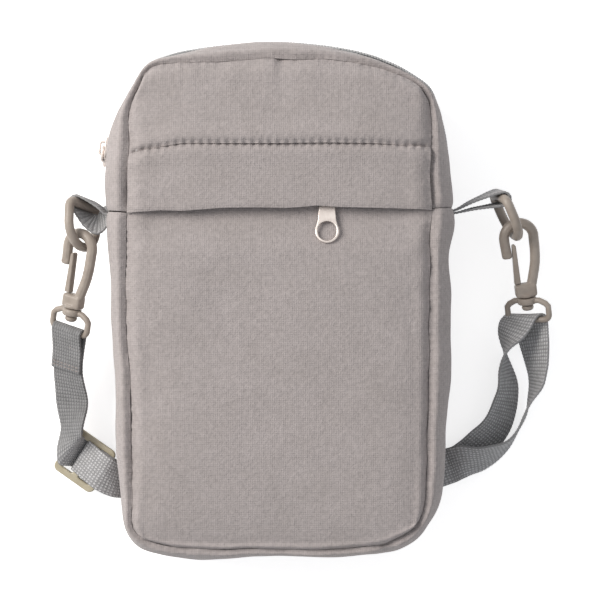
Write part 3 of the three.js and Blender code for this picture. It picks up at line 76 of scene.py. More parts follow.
# %% Camera
CAMERA_HEIGHT = 1100
CAMERA_SHIFT_X = 8.4
LENS = 153.6

bpy.ops.object.camera_add(location=(CAMERA_SHIFT_X * MM, 0, CAMERA_HEIGHT * MM), rotation=(0, 0, 0))
camera = bpy.context.object
camera.data.lens = LENS
camera.data.sensor_width = 36
camera.data.clip_end = 20
bpy.context.scene.camera = camera
bpy.context.scene.view_settings.view_transform = "Standard"


# %% One helper for nodes, one for colours
def linear(hex_colour, alpha=1.0):
    """A hex sRGB colour as the linear values that Blender's sockets take."""
    channels = [int(hex_colour[i : i + 2], 16) / 255 for i in (0, 2, 4)]
    return [c / 12.92 if c <= 0.04045 else ((c + 0.055) / 1.055) ** 2.4 for c in channels] + [alpha]


def add_node(tree, kind, inputs=None, **settings):
    """Adds a node, sets its options, and fills or links its inputs."""
    made = tree.nodes.new(kind)
    for key, value in settings.items():
        setattr(made, key, value)
    for key, value in (inputs or {}).items():
        if isinstance(value, bpy.types.NodeSocket):
            tree.links.new(value, made.inputs[key])
        else:
            made.inputs[key].default_value = value
    return made


# %% Light
LAMP_COLOUR = "fffaf4"
ROOM_COLOUR = "f7f8fb"
ROOM_STRENGTH = 0.46
LAMP_WATTS = 19
LAMP_PLACE = (-1.05, 0.55, 0.95)

world = bpy.data.worlds.new("pale_room")
bpy.context.scene.world = world
world.use_nodes = True
sky = world.node_tree
sky.nodes.clear()


def seen_directly(tree):
    """1 for the rays that show the background: the camera's, and those that metal and glass send on."""
    rays = add_node(tree, "ShaderNodeLightPath").outputs
    seen = rays["Is Camera Ray"]
    for kind in ("Is Glossy Ray", "Is Transmission Ray"):
        seen = add_node(tree, "ShaderNodeMath", {0: seen, 1: rays[kind]}, operation="MAXIMUM").outputs[0]
    return seen


room = add_node(sky, "ShaderNodeBackground", {"Color": linear(ROOM_COLOUR), "Strength": ROOM_STRENGTH})
plain = add_node(sky, "ShaderNodeBackground", {"Color": linear("ffffff"), "Strength": 1.0})
shown = {0: seen_directly(sky), 1: room.outputs[0], 2: plain.outputs[0]}
either = add_node(sky, "ShaderNodeMixShader", shown)
add_node(sky, "ShaderNodeOutputWorld", {"Surface": either.outputs[0]})

bpy.ops.object.light_add(type="AREA", location=LAMP_PLACE)
lamp = bpy.context.object
lamp.data.shape = "DISK"
lamp.data.size = 0.9
lamp.data.energy = LAMP_WATTS
lamp.data.color = linear(LAMP_COLOUR)[:3]
lamp.rotation_euler = Vector(LAMP_PLACE).to_track_quat("Z", "Y").to_euler()

# %% Table
TABLE_COLOUR = "f4f4f4"
TABLE_LIFT = 0.68

bpy.ops.mesh.primitive_plane_add(size=6, location=(0, 0, 0))
table = bpy.context.object
table.name = "table"
paper = bpy.data.materials.new("white_card")
paper.use_nodes = True
tree = paper.node_tree
tree.nodes.clear()
card = add_node(tree, "ShaderNodeBsdfDiffuse", {"Color": linear(TABLE_COLOUR)})
lift = add_node(tree, "ShaderNodeMath", {0: seen_directly(tree), 1: TABLE_LIFT}, operation="MULTIPLY")
glow = add_node(tree, "ShaderNodeEmission", {"Color": linear("ffffff"), "Strength": lift.outputs[0]})
both = add_node(tree, "ShaderNodeAddShader", {0: card.outputs[0], 1: glow.outputs[0]})
add_node(tree, "ShaderNodeOutputMaterial", {"Surface": both.outputs[0]})
table.data.materials.append(paper)
print("stage: a camera at", CAMERA_HEIGHT, "mm, one lamp, a pale room and a table")

# %% [markdown]
# ## Finishes
#
# Cloth scatters light among its threads, so it is rough, with a little sheen at grazing angles, and its
# tone wanders by a few percent. The real weave is finer than a pixel of the picture, so its threads are
# drawn about 1 mm apart and kept faint. Webbing has ribs across it that follow the strap, so it reads
# the strap's own UV map, which is laid out in metres.


# %% A start for every material
def new_material(name, roughness, metallic=0.0, **sockets):
    """A material with a Principled shader; sockets holds its other plain values."""
    made = bpy.data.materials.new(name)
    made.use_nodes = True
    shader = made.node_tree.nodes["Principled BSDF"]
    shader.inputs["Roughness"].default_value = roughness
    shader.inputs["Metallic"].default_value = metallic
    for key, value in sockets.items():
        shader.inputs[key.replace("_", " ")].default_value = value
    return made, made.node_tree, shader


def two_tone(tree, where, size_mm, dark, light, low=0.35, high=0.65, detail=3.0):
    """A colour that wanders between two hex tones over patches of a size in millimetres."""
    spread = {"Vector": where, "Scale": 1 / (size_mm * MM), "Detail": detail, "Roughness": 0.6}
    patches = add_node(tree, "ShaderNodeTexNoise", spread)
    ramp = add_node(tree, "ShaderNodeValToRGB", {"Fac": patches.outputs["Fac"]})
    for element, place, colour in zip(ramp.color_ramp.elements, (low, high), (dark, light)):
        element.position = place
        element.color = linear(colour)
    return ramp.outputs["Color"]


def threads(tree, where, pitch_mm, axis="X"):
    """Parallel threads at a pitch in millimetres, as a height from 0 to 1."""
    # A wave texture repeats every 2 pi / 20 units at scale 1.
    lines = {"Vector": where, "Scale": 2 * math.pi / (20 * pitch_mm * MM), "Distortion": 1.2, "Detail": 1.0}
    lines["Detail Scale"] = 2.0
    return add_node(tree, "ShaderNodeTexWave", lines, bands_direction=axis).outputs["Fac"]


def dress(tree, shader, colour, height, relief_mm):
    """Gives a shader its colour, and a height from 0 to 1 as relief."""
    tree.links.new(colour, shader.inputs["Base Color"])
    relief = add_node(tree, "ShaderNodeBump", {"Height": height, "Distance": relief_mm * MM, "Strength": 1.0})
    tree.links.new(relief.outputs[0], shader.inputs["Normal"])


# %% Woven cloths
WEAVE_SHARE = 0.1


def woven_cloth(name, dark, light, thread_mm, relief_mm, roughness=0.92, sheen=0.25):
    """Plain woven cloth: two sets of threads, a fuzz, and a tone that wanders."""
    made, tree, shader = new_material(name, roughness, Sheen_Weight=sheen, Sheen_Roughness=0.6)
    where = add_node(tree, "ShaderNodeTexCoord").outputs["Object"]
    tone = two_tone(tree, where, 14, dark, light, 0.2, 0.8, 2.0)
    warp = threads(tree, where, thread_mm)
    weft = threads(tree, where, thread_mm, axis="Y")
    weave = add_node(tree, "ShaderNodeMath", {0: warp, 1: weft}, operation="ADD")
    fibres = {"Vector": where, "Scale": 1 / (1.7 * MM), "Detail": 4.0, "Roughness": 0.7}
    fuzz = add_node(tree, "ShaderNodeTexNoise", fibres)
    both = {0: weave.outputs[0], 1: WEAVE_SHARE, 2: fuzz.outputs["Fac"]}
    height = add_node(tree, "ShaderNodeMath", both, operation="MULTIPLY_ADD").outputs[0]
    darker_between = {"Value": height, "From Min": 0.35, "From Max": 0.85, "To Min": 0.8, "To Max": 1.15}
    flecks = add_node(tree, "ShaderNodeMapRange", darker_between)
    shaded = add_node(tree, "ShaderNodeVectorMath", {0: tone, "Scale": flecks.outputs[0]}, operation="SCALE")
    dress(tree, shader, shaded.outputs[0], height, relief_mm)
    return made


# The pouch's outer cloth: plain woven polyester, brushed, so that it looks soft and a little fuzzy.
POLYESTER = woven_cloth("brushed_woven_polyester", "ada5a3", "b5adac", 0.9, 0.5)
# The lining, which the divider and the seam bindings are cut from: thinner, flatter and darker.
LINING = woven_cloth("woven_lining", "8f8a88", "9b9694", 0.8, 0.08)
# The zips' tape: a tight, flat weave in a cooler grey.
ZIP_TAPE = woven_cloth("woven_zip_tape", "b2b4b5", "c2c4c5", 1.0, 0.12)

# %% Ribbed webbing
RIB_PITCH, FLOAT_PITCH = 1.5, 1.25


def webbing_material():
    """Polyester webbing: the weft's ribs across it, the warp's rows of short floats along it, and painted
    shade where a point's share asks for it.
    """
    made, tree, shader = new_material("ribbed_polyester_webbing", 0.8, Sheen_Weight=0.2, Sheen_Roughness=0.5)
    where = add_node(tree, "ShaderNodeTexCoord").outputs
    tone = two_tone(tree, where["Object"], 4, "c5c5c6", "d6d6d8")
    ribs = threads(tree, where["UV"], RIB_PITCH)
    floats = threads(tree, where["UV"], FLOAT_PITCH, axis="Y")
    ladder = add_node(tree, "ShaderNodeMath", {0: ribs, 1: floats}, operation="MULTIPLY").outputs[0]
    full_ladder = {"Value": ladder, "From Max": 0.5, "To Min": 0.5, "To Max": 1.05}
    depth = add_node(tree, "ShaderNodeMapRange", full_ladder)
    # Partly real, partly painted shade: where a point's share is 1, on the strap's left run, the ladder gives
    # way to its finer floats alone, and the colour there is painted much darker as shade.
    fine = add_node(tree, "ShaderNodeMapRange", {"Value": floats, "To Min": 0.27, "To Max": 0.44})
    painted_shade = add_node(tree, "ShaderNodeAttribute", attribute_name="painted_shade")
    blend = {"Factor": painted_shade.outputs["Fac"], "A": depth.outputs[0], "B": fine.outputs[0]}
    closed = add_node(tree, "ShaderNodeMix", blend)
    shaded = add_node(tree, "ShaderNodeVectorMath", {0: tone, "Scale": closed.outputs[0]}, operation="SCALE")
    dress(tree, shader, shaded.outputs[0], ladder, 0.3)
    return made


WEBBING = webbing_material()


# %% Moulded plastic, thread and plated metal
def smooth_finish(name, dark, light, roughness, patch_mm, grain_mm, gloss, relief_mm, **sockets):
    """An even finish: two close tones in patches, and a fine grain in its gloss and its relief."""
    made, tree, shader = new_material(name, roughness, **sockets)
    where = add_node(tree, "ShaderNodeTexCoord").outputs["Object"]
    tone = two_tone(tree, where, patch_mm, dark, light)
    spread = {"Vector": where, "Scale": 1 / (grain_mm * MM), "Detail": 3.0}
    grain = add_node(tree, "ShaderNodeTexNoise", spread).outputs["Fac"]
    reach = {"Value": grain, "To Min": roughness + gloss[0], "To Max": roughness + gloss[1]}
    tree.links.new(add_node(tree, "ShaderNodeMapRange", reach).outputs[0], shader.inputs["Roughness"])
    dress(tree, shader, tone, grain, relief_mm)
    return made


# Mouldings in satin acetal: even colour, a faint grain from the mould, and light scuffs.
MOULDED = {"patch_mm": 5, "grain_mm": 0.5, "gloss": (-0.06, 0.08), "relief_mm": 0.02, "IOR": 1.48}
TAUPE_PLASTIC = smooth_finish("taupe_acetal", "9c9187", "aaa096", 0.4, **MOULDED)
CREAM_PLASTIC = smooth_finish("cream_acetal", "b3aa92", "c2baa3", 0.36, **MOULDED)
# The zips' coils are drawn nylon wire, and the threads are twisted polyester, which is duller.
COIL_PLASTIC = smooth_finish("grey_nylon_coil", "babbbc", "cccdce", 0.5, **MOULDED)
THREAD = smooth_finish("polyester_thread", "8e8582", "9c9390", 0.7, **MOULDED)
# Satin nickel over die-cast zinc: metallic, slightly warm, with faint blotches in its polish.
PLATED = {"patch_mm": 2.5, "grain_mm": 0.8, "gloss": (-0.07, 0.1), "relief_mm": 0.01, "metallic": 0.75}
NICKEL = smooth_finish("satin_nickel", "d6ccc6", "e2d9d3", 0.42, **PLATED)
print("finishes:", len(bpy.data.materials))

# %% [markdown]
# ## The bag's outline
#
# Everything sewn follows two closed lines in plan: the seam round the front, and the crest of the padded
# gusset outside it. They are the CAD part's own lines, given in the same shares, so the cloth lands on
# the solids that it stands for.

# %% Outline and section of the gusset
HALF_WIDTH, HALF_HEIGHT, MID_DEPTH = 72.5, 108.5, 25.0
SEAM_HALF_WIDTH, SEAM_HALF_HEIGHT = HALF_WIDTH - 10, HALF_HEIGHT - 8.5
GUSSET_HALF_DEPTH = MID_DEPTH - 3.5
LEAST_REACH = 4.5
SECTION_SQUARENESS = 0.75
# Each row: the crest's x and y, then the seam's, in shares of their half widths and half heights.
OUTLINE_SHARES = np.array(
    [
        [1.003, 0.354, 0.997, 0.377], [0.99, 0.484, 0.997, 0.515], [0.974, 0.619, 1.003, 0.659],
        [0.932, 0.735, 1, 0.77], [0.88, 0.817, 0.958, 0.848], [0.764, 0.878, 0.853, 0.906],
        [0.626, 0.927, 0.688, 0.951], [0.434, 0.971, 0.477, 0.98], [0, 1.004, 0, 0.994],
        [-0.452, 0.981, -0.478, 0.978], [-0.648, 0.954, -0.69, 0.976], [-0.782, 0.913, -0.84, 0.957],
        [-0.863, 0.825, -0.936, 0.877], [-0.945, 0.724, -0.992, 0.753], [-0.996, 0.612, -0.995, 0.634],
        [-1.008, 0.484, -1.002, 0.506], [-1.003, 0.341, -1.005, 0.362], [-0.985, 0.039, -1.014, 0.041],
        [-0.956, -0.387, -0.982, -0.412], [-0.927, -0.794, -0.973, -0.823], [-0.895, -0.906, -0.963, -0.945],
        [-0.806, -0.966, -0.867, -0.992], [-0.648, -0.996, -0.715, -1.017], [0, -1.003, 0, -1.025],
        [0.521, -0.993, 0.582, -1.016], [0.684, -0.973, 0.754, -0.988], [0.793, -0.933, 0.866, -0.951],
        [0.869, -0.871, 0.931, -0.902], [0.924, -0.794, 0.962, -0.823], [0.971, -0.387, 0.979, -0.412],
        [0.993, 0, 0.994, 0], [0.979, 0.174, 0.992, 0.185], [1.008, 0.29, 0.994, 0.309],
    ]
)
STATIONS = len(OUTLINE_SHARES)
RIGHT_SEAM, LEFT_SEAM = 0, 16
TOP_RIGHT, TOP_LEFT = 4, 12
BOTTOM_LEFT, BOTTOM_RIGHT = 20.5, 26.5


def curve_through(points, closed):
    """A centripetal Catmull-Rom curve through points, as a function of places counted in points."""
    points = np.asarray(points, float)
    count = len(points)

    def knot(i):
        if closed:
            return points[i % count]
        if i < 0:
            return 2 * points[0] - points[1]
        if i >= count:
            return 2 * points[-1] - points[-2]
        return points[i]

    def at(place):
        if not closed:
            place = min(max(place, 0), count - 1 - 1e-9)
        i = math.floor(place)
        w = place - i
        a, b, c, d = knot(i - 1), knot(i), knot(i + 1), knot(i + 2)
        before, here, after = (max(np.linalg.norm(q - p), 1e-9) ** 0.5 for p, q in ((a, b), (b, c), (c, d)))
        leave = ((b - a) / before - (c - a) / (before + here) + (c - b) / here) * here
        arrive = ((c - b) / here - (d - b) / (here + after) + (d - c) / after) * here
        return (
            b
            + leave * w
            + (-3 * b + 3 * c - 2 * leave - arrive) * w**2
            + (2 * b - 2 * c + leave + arrive) * w**3
        )

    return at


crest_marks = OUTLINE_SHARES[:, :2] * [HALF_WIDTH, HALF_HEIGHT]
crest_at = functools.lru_cache(None)(curve_through(crest_marks, True))
seam_line = curve_through(OUTLINE_SHARES[:, 2:] * [SEAM_HALF_WIDTH, SEAM_HALF_HEIGHT], True)
SEAM_WOBBLE = 0.7


@functools.lru_cache(None)
def seam_curve(station):
    """The seam in plan. It wanders a little, as the foam pushes at its stitches."""
    place = seam_line(station)
    outward = crest_at(station) - place
    wobble = noise.noise(Vector((place[0] / 11, place[1] / 11, 3.7)))
    return place + outward / np.linalg.norm(outward) * SEAM_WOBBLE * wobble


def seam_at(station, inset=0.0):
    """The seam at a station, moved inwards in plan."""
    ahead = seam_curve(station + 0.01) - seam_curve(station - 0.01)
    ahead /= np.linalg.norm(ahead)
    return seam_curve(station) - inset * np.array([ahead[1], -ahead[0]])


def gusset_point(station, angle, depth=0.0):
    """A point of the gusset's outer face, or of a layer a depth inside it."""
    seam = seam_curve(station)
    outward = crest_at(station) - seam
    reach = max(np.linalg.norm(outward), LEAST_REACH)
    outward /= np.linalg.norm(outward)

    def section(degrees):
        turned = math.radians(min(max(degrees, -90), 90))
        out, rise = max(math.cos(turned), 0) ** SECTION_SQUARENESS, math.sin(turned)
        rise = math.copysign(abs(rise) ** SECTION_SQUARENESS, rise)
        return np.array([reach * out, GUSSET_HALF_DEPTH * rise])

    here = section(angle)
    along = section(angle + 0.5) - section(angle - 0.5)
    along /= np.linalg.norm(along)
    if abs(angle) >= 89.9:
        along = np.array([-math.copysign(1, angle), 0])
    out, rise = here[0] - along[1] * depth, here[1] + along[0] * depth
    return np.array([*(seam + outward * out), MID_DEPTH + rise])


def angle_at(rise):
    """The section's angle, in degrees, at a height over mid depth."""
    share = math.copysign(abs(rise / GUSSET_HALF_DEPTH) ** (1 / SECTION_SQUARENESS), rise)
    return math.degrees(math.asin(share))


print("outline:", STATIONS, "stations; crest to", np.round(crest_at(8), 1), "at the top")

# %% [markdown]
# ## From a grid of points to a padded piece
#
# A sewn panel is a sheet with a thickness. It is built as a grid of points over its outer face, given its
# foam by Solidify, and its raw rim is rounded by Bevel. Small noise moves the grid before that: cloth
# over foam is never quite smooth, and it puckers where a seam holds it.


# %% Grid, noise and thickness helpers
def linked(name, data):
    """A new object in the scene, with its origin at 0."""
    made = bpy.data.objects.new(name, data)
    bpy.context.scene.collection.objects.link(made)
    return made


def mesh_object(name, points, faces, material):
    """A smooth mesh from points in millimetres."""
    mesh = bpy.data.meshes.new(name)
    mesh.from_pydata((np.reshape(points, (-1, 3)) * MM).tolist(), [], faces)
    mesh.shade_smooth()
    mesh.materials.append(material)
    return linked(name, mesh)


def grid_mesh(name, rows, material, closed=False, lengths=None):
    """A smooth mesh over rows of points in millimetres, with a UV map in metres when lengths are given."""
    rows = np.asarray(rows, float)
    count, width = rows.shape[:2]
    quads = []
    for i in range(count if closed else count - 1):
        here, there = i * width, (i + 1) % count * width
        quads += [(here + j, here + j + 1, there + j + 1, there + j) for j in range(width - 1)]
    made = mesh_object(name, rows, quads, material)
    mesh = made.data
    if lengths is not None:
        layer = mesh.uv_layers.new(name="along_the_piece")
        corners = np.empty(len(mesh.loops), int)
        mesh.loops.foreach_get("vertex_index", corners)
        layer.data.foreach_set("uv", (np.asarray(lengths).reshape(-1, 2) * MM)[corners].ravel())
    return made


def select_only(obj):
    """Selects one object and makes it active, as operators need."""
    bpy.ops.object.select_all(action="DESELECT")
    obj.select_set(True)
    bpy.context.view_layer.objects.active = obj


def apply_modifier(obj, kind, **settings):
    """Adds a modifier and applies it at once."""
    select_only(obj)
    made = obj.modifiers.new(kind.lower(), kind)
    for key, value in settings.items():
        setattr(made, key, value)
    bpy.ops.object.modifier_apply(modifier=made.name)


def pad_out(obj, thickness, rim=0.5):
    """Gives a sheet its foam, inwards from its outer face, and rounds its rim."""
    apply_modifier(obj, "SOLIDIFY", thickness=thickness * MM, offset=-1, use_even_offset=False)
    rounded = {"width": rim * MM, "segments": 2, "limit_method": "ANGLE", "angle_limit": math.radians(60)}
    apply_modifier(obj, "BEVEL", **rounded)
    obj.data.shade_smooth()


def rumple(point, size, seed=0.0, stretch=(1, 1, 1)):
    """Smooth noise from -1 to 1 over lumps of a size in millimetres."""
    x, y, z = (float(p) / (size * s) for p, s in zip(point, stretch))
    return noise.noise(Vector((x + seed, y - seed, z + 2 * seed)))


def rumples(point, layers, seed=0.0):
    """Layers of noise, each given as its rise and size in millimetres and a seed of its own."""
    return sum(rise * rumple(point, size, seed + own) for rise, size, own in layers)


def running_length(places):
    """The length along a line of places, up to each of them."""
    steps = np.linalg.norm(np.diff(places, axis=0), axis=1)
    return np.concatenate([[0], np.cumsum(steps)])


def soft_step(value, low, high):
    """0 below low, 1 above high, and eased between."""
    t = min(max((value - low) / (high - low), 0), 1)
    return t * t * (3 - 2 * t)


def stand_for(obj, slot, *nodes, body="root"):
    """Puts a finished piece on its body, in place of its CAD nodes."""
    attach(obj, body)
    if nodes:
        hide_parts(*nodes)
    return obj

# %% [markdown]
# ## The gusset
#
# The gusset is the padded wall between the front and back seams. On the real bag each seam is a groove,
# and the cloth beside it rolls up like piping. The wall also buckles a little: it has shallow dents that
# run across it, and a pinch at the lower right. All of that is a push along the section's own normal.

# %% Gusset
STITCH_PITCH, ROW_PITCH, SECTION_PITCH = 3.5, 1.3, 3.5
SEAM_TO_CREST = 34
PIPING_RISE, PIPING_PLACE, PIPING_WIDTH = 0.9, 5.5, 3.5
GROOVE_DEPTH, GROOVE_WIDTH = 1.1, 2.2
GUSSET_SLACK = 1.3
PUCKER_RISE, DENT_RISE = 0.22, 1.5
GUSSET_FOLDS, GUSSET_LUMPS = ((0.8, 10, 3), (0.4, 5, 4)), ((0.35, 11, 11),)
# The zip draws the front strip's edge in, over a band of the section in degrees.
STRIP_DRAW, CORNER_DRAW, DRAW_BAND = 1.7, 0.9, 26
# A pinch in the bottom wall, at the lower right.
PINCH_PLACE, PINCH_DEPTH, PINCH_SIZE = np.array([44, -102]), 2.0, 3.2
# Pieces that meet at a cross seam stay this share of a station off it, about 0.2 mm.
SEAM_GAP = 0.012
ZIP_ANGLE = angle_at(6)


def stations_between(start, end, pitch):
    """Stations about a pitch apart along the crest."""
    fine = np.linspace(start, end, 400)
    places = np.array([crest_at(s) for s in fine])
    run = running_length(places)
    wanted = np.linspace(0, run[-1], max(int(run[-1] / pitch), 2) + 1)
    return np.interp(wanted, run, fine), wanted


def at_corner(station):
    """1 at the upper right corner, where the full bag pushes the zip out and its front edge back."""
    return soft_step(station, 3.3, 4.4) * (1 - soft_step(station, 5.6, 7.1))


def zip_draw(station):
    """How far the front strip's edge is drawn in along the zip."""
    drawn = soft_step(station, 2.6, 4.2) * (1 - 0.75 * soft_step(station, 5.5, 8.5))
    return STRIP_DRAW * (drawn * (1 - soft_step(station, 11, 14))) + CORNER_DRAW * at_corner(station)


def hump(distance, width):
    """A smooth hump: 1 at no distance, and nearly nothing at twice its width."""
    return math.exp(-((distance / width) ** 2))


def gusset_push(point, run, angle, seed):
    """How far the cloth stands off the plain section."""
    from_seam = (90 - abs(angle)) / 90 * SEAM_TO_CREST
    piping = PIPING_RISE * hump(from_seam - PIPING_PLACE, PIPING_WIDTH)
    groove = -GROOVE_DEPTH * hump(from_seam, GROOVE_WIDTH)
    gather = math.exp(-from_seam / 6)
    turn = 2 * math.pi * run / STITCH_PITCH + 2 * rumple(point, 30, seed)
    pucker = PUCKER_RISE * gather * math.sin(turn)
    folds = gather * rumples(point, GUSSET_FOLDS, seed)
    at_crest = math.cos(math.radians(angle)) ** 0.5
    dents = DENT_RISE * rumple(point, 26, seed + 7, (1, 1, 2.5)) * at_crest
    lumps = rumples(point, GUSSET_LUMPS, seed)
    slack = GUSSET_SLACK * soft_step(abs(point[1]), 60, 95) * at_crest
    pinch = 0
    if point[2] > MID_DEPTH + 8:
        pinch = math.exp(-np.sum(((point[:2] - PINCH_PLACE) / PINCH_SIZE) ** 2))
    return piping + groove + pucker + folds + dents + lumps - slack - PINCH_DEPTH * pinch


def gusset_piece(name, node, start, end, low, high, thickness, seed):
    """A stretch of the gusset between two stations and two section angles."""
    stations, run = stations_between(start, end, ROW_PITCH)
    angles = np.linspace(high, low, max(int((high - low) / SECTION_PITCH), 6) + 1)
    rows = []
    for station, length in zip(stations, run):
        ends = min(length, run[-1] - length)
        free = 0.35 + 0.65 * soft_step(ends, 0, 4)
        drawn = zip_draw(station) if node == "upper_gusset_front" else 0
        row = []
        for angle in angles:
            outer = gusset_point(station, angle)
            normal = outer - gusset_point(station, angle, 1.0)
            tuck = -0.8 * (1 - soft_step(ends, 0, 2.2)) - drawn * hump(angle - ZIP_ANGLE, DRAW_BAND)
            row.append(outer + normal * (gusset_push(outer, length, angle, seed) * free + tuck))
        rows.append(row)
    made = grid_mesh(name, rows, POLYESTER)
    pad_out(made, thickness)
    return stand_for(made, "polyester", node)


lower_ends = LEFT_SEAM + SEAM_GAP, STATIONS - SEAM_GAP
upper_ends = SEAM_GAP, LEFT_SEAM - SEAM_GAP
gusset_piece("gusset_lower_wall", "lower_gusset", *lower_ends, -90, 90, 2.0, 1.3)
gusset_piece("gusset_front_strip", "upper_gusset_front", *upper_ends, ZIP_ANGLE, 90, 1.8, 4.1)
gusset_piece("gusset_back_strip", "upper_gusset_back", *upper_ends, -90, -ZIP_ANGLE, 1.8, 8.6)
print("gusset: three padded stretches")

# %% [markdown]
# ## The front
#
# Three panels make the front: the pocket, the storm flap over the pocket's zip, and a plain panel at the
# top. Each fills a patch between four edges. The height over the patch is a low crown that drops into
# the seam's groove in its last few millimetres, with puckers at the stitches.

# %% Patches between four edges
def patch_points(bottom, top, left, right, rows, columns):
    """A Coons patch over four edges, as rows of points in plan with their shares across and up."""
    a, b, c, d = bottom(0), bottom(1), top(0), top(1)

    def place(s, t):
        edges = bottom(s) * (1 - t) + top(s) * t + left(t) * (1 - s) + right(t) * s
        return edges - a * (1 - s) * (1 - t) - b * s * (1 - t) - c * (1 - s) * t - d * s * t

    return [[(place(s, t), s, t) for s in columns] for t in rows]


def eased(count, crowd=0.5):
    """Shares from 0 to 1 that crowd towards both ends."""
    t = np.linspace(0, 1, count)
    return (1 - crowd) * t + crowd * (0.5 - 0.5 * np.cos(np.pi * t))


PANEL_INSET = 0.15


def seam_edge(start, end, inset=PANEL_INSET):
    """A patch's edge along the seam, between two stations."""
    return lambda share: seam_at(start + (end - start) * share, inset)


def station_of_height(height, low, high):
    """The station where one side of the seam passes a height."""
    rising = seam_at(high)[1] > seam_at(low)[1]
    for _ in range(40):
        middle = (low + high) / 2
        if (seam_at(middle)[1] < height) == rising:
            low = middle
        else:
            high = middle
    return (low + high) / 2


def side_stations(left_height, right_height):
    """The stations at a height on the left side and at one on the right."""
    left = station_of_height(left_height, TOP_LEFT, BOTTOM_LEFT)
    return left, station_of_height(right_height, BOTTOM_RIGHT - STATIONS, TOP_RIGHT)


PANEL_HALF_WIDTH = 62
FRONT_RIM, FRONT_CROWN = 46.9, 3.6
FLAP_RIM, FLAP_CROWN = 48.7, 2.3
# The flap's lower edge and the stitch line over it, as places in plan.
FLAP_EDGE = np.array(
    [
        [-62, 35.9], [-48.7, 36.8], [-39.2, 36.6], [-23.6, 37.8], [-10.1, 38],
        [2.7, 37.7], [15, 38.7], [24.8, 38.2], [62, 37.2],
    ]
)
STITCH_LINE = np.array(
    [
        [-62, 60.2], [-54, 62], [-46, 63.4], [-39, 64.5], [-20, 64.4],
        [0, 64.4], [19, 64.6], [38, 64.4], [51, 63.5], [62, 62.9],
    ]
)


def line_height(line, x):
    """The height of a line drawn through points, at x."""
    return float(np.interp(x, line[:, 0], line[:, 1]))


def plan_line(line, inset=0.5):
    """A line across the front, from seam to seam, as an edge with its two end stations."""
    left, right = side_stations(line[0][1], line[-1][1])
    start, end = seam_at(left, inset), seam_at(right, inset)

    def edge(share):
        x = start[0] + (end[0] - start[0]) * share
        return np.array([x, line_height(line, x)])

    return edge, left, right


def crown(across, y):
    """The share of the crown's height left at a place: none at the seams, all in the middle."""
    return (1 - abs(across) ** 5) * (1 - min(abs(y) / SEAM_HALF_HEIGHT, 1) ** 9)


SEAM_DROP, SEAM_ROLL = 1.5, 0.5
SEAM_FOLDS = ((0.9, 9, 5), (0.5, 5, 6))


def seam_groove(distance, run, point, seed):
    """The drop into a seam, with puckers at its stitches."""
    drop, roll = -SEAM_DROP * hump(distance, 2.4), SEAM_ROLL * hump(distance - 6, 3.5)
    turn = 2 * math.pi * run / STITCH_PITCH + 3 * rumple(point, 40, seed)
    pucker = PUCKER_RISE * math.exp(-distance / 2.2) * math.sin(turn)
    return drop + roll + pucker + math.exp(-distance / 7) * rumples(point, SEAM_FOLDS, seed)


# Broad, low lumps of cloth over foam.
PANEL_LUMPS = ((0.75, 42, 0), (0.28, 17, 2), (0.08, 6, 4))


def front_piece(name, node, edges, rows, columns, height, thickness, rim=0.5):
    """A padded front panel over a patch. Its height depends on x, y, and the shares across and up."""
    patch = patch_points(*edges, rows, columns)
    points = [[[x, y, height(x, y, 2 * s - 1, t)] for (x, y), s, t in row] for row in patch]
    made = grid_mesh(name, points, POLYESTER)
    pad_out(made, thickness, rim)
    return stand_for(made, "polyester", node)


# %% Pocket panel
POCKET_TOP, POCKET_DIP, DIP_LENGTH, POCKET_LENGTH = 39, 5, 21, 141


def pocket_height(x, y, across, up):
    """The pocket panel's outer face: it dips along its open top, between the sides."""
    half_width = PANEL_HALF_WIDTH - 1.5 * soft_step(-y, 40, 100)
    side, end = (1 - abs(across)) * half_width, up * POCKET_LENGTH
    dip = POCKET_DIP * soft_step(y, POCKET_TOP - DIP_LENGTH, POCKET_TOP) * (1 - abs(across) ** 6)
    held = 1 - soft_step(y, 20, 36)
    base = FRONT_RIM + FRONT_CROWN * crown(across, y) - dip
    point = (x, y, 0)
    grooves = seam_groove(side, y, point, 2.0) + seam_groove(end, x, point, 3.0)
    return base + grooves + held * rumples(point, PANEL_LUMPS, 5.0) * soft_step(min(side, end), 0, 12)


pocket_left, pocket_right = side_stations(POCKET_TOP, POCKET_TOP)
pocket_top = (seam_at(pocket_left, PANEL_INSET), seam_at(pocket_right, PANEL_INSET))
edges = (
    seam_edge(BOTTOM_LEFT, BOTTOM_RIGHT),
    lambda share: pocket_top[0] * (1 - share) + pocket_top[1] * share,
    seam_edge(BOTTOM_LEFT, pocket_left),
    seam_edge(BOTTOM_RIGHT - STATIONS, pocket_right),
)
front_piece("pocket_front", "pocket_panel", edges, eased(120), eased(110), pocket_height, 2.0)

# %% Storm flap
FLAP_THICKNESS = 1.5
flap_edge, flap_left, flap_right = plan_line(FLAP_EDGE)
stitch_edge, stitch_left, stitch_right = plan_line(STITCH_LINE)


def stitch_dip(distance, x):
    """The groove of a stitch line, deepest in each stitch's hole."""
    hole = 0.5 + 0.5 * math.cos(2 * math.pi * x / STITCH_PITCH)
    return -(0.9 + 0.9 * hole) * hump(distance, 1.5) + 0.45 * hump(distance - 4, 3)


def flap_height(x, y, across, up):
    """The flap's outer face, with a hem below and the stitch line's groove above."""
    point = (x, y, 0)
    side = (1 - abs(across)) * PANEL_HALF_WIDTH
    low, high = y - line_height(FLAP_EDGE, x), line_height(STITCH_LINE, x) - y
    base = FLAP_RIM + FLAP_CROWN * crown(across, y)
    hem = -0.35 * hump(low, 1.0) + 0.25 * rumple(point, 14, 9)
    groove = seam_groove(side, y, point, 12.0) * 0.8
    return base + hem + stitch_dip(high, x) + groove + 0.4 * rumples(point, PANEL_LUMPS, 6.0)


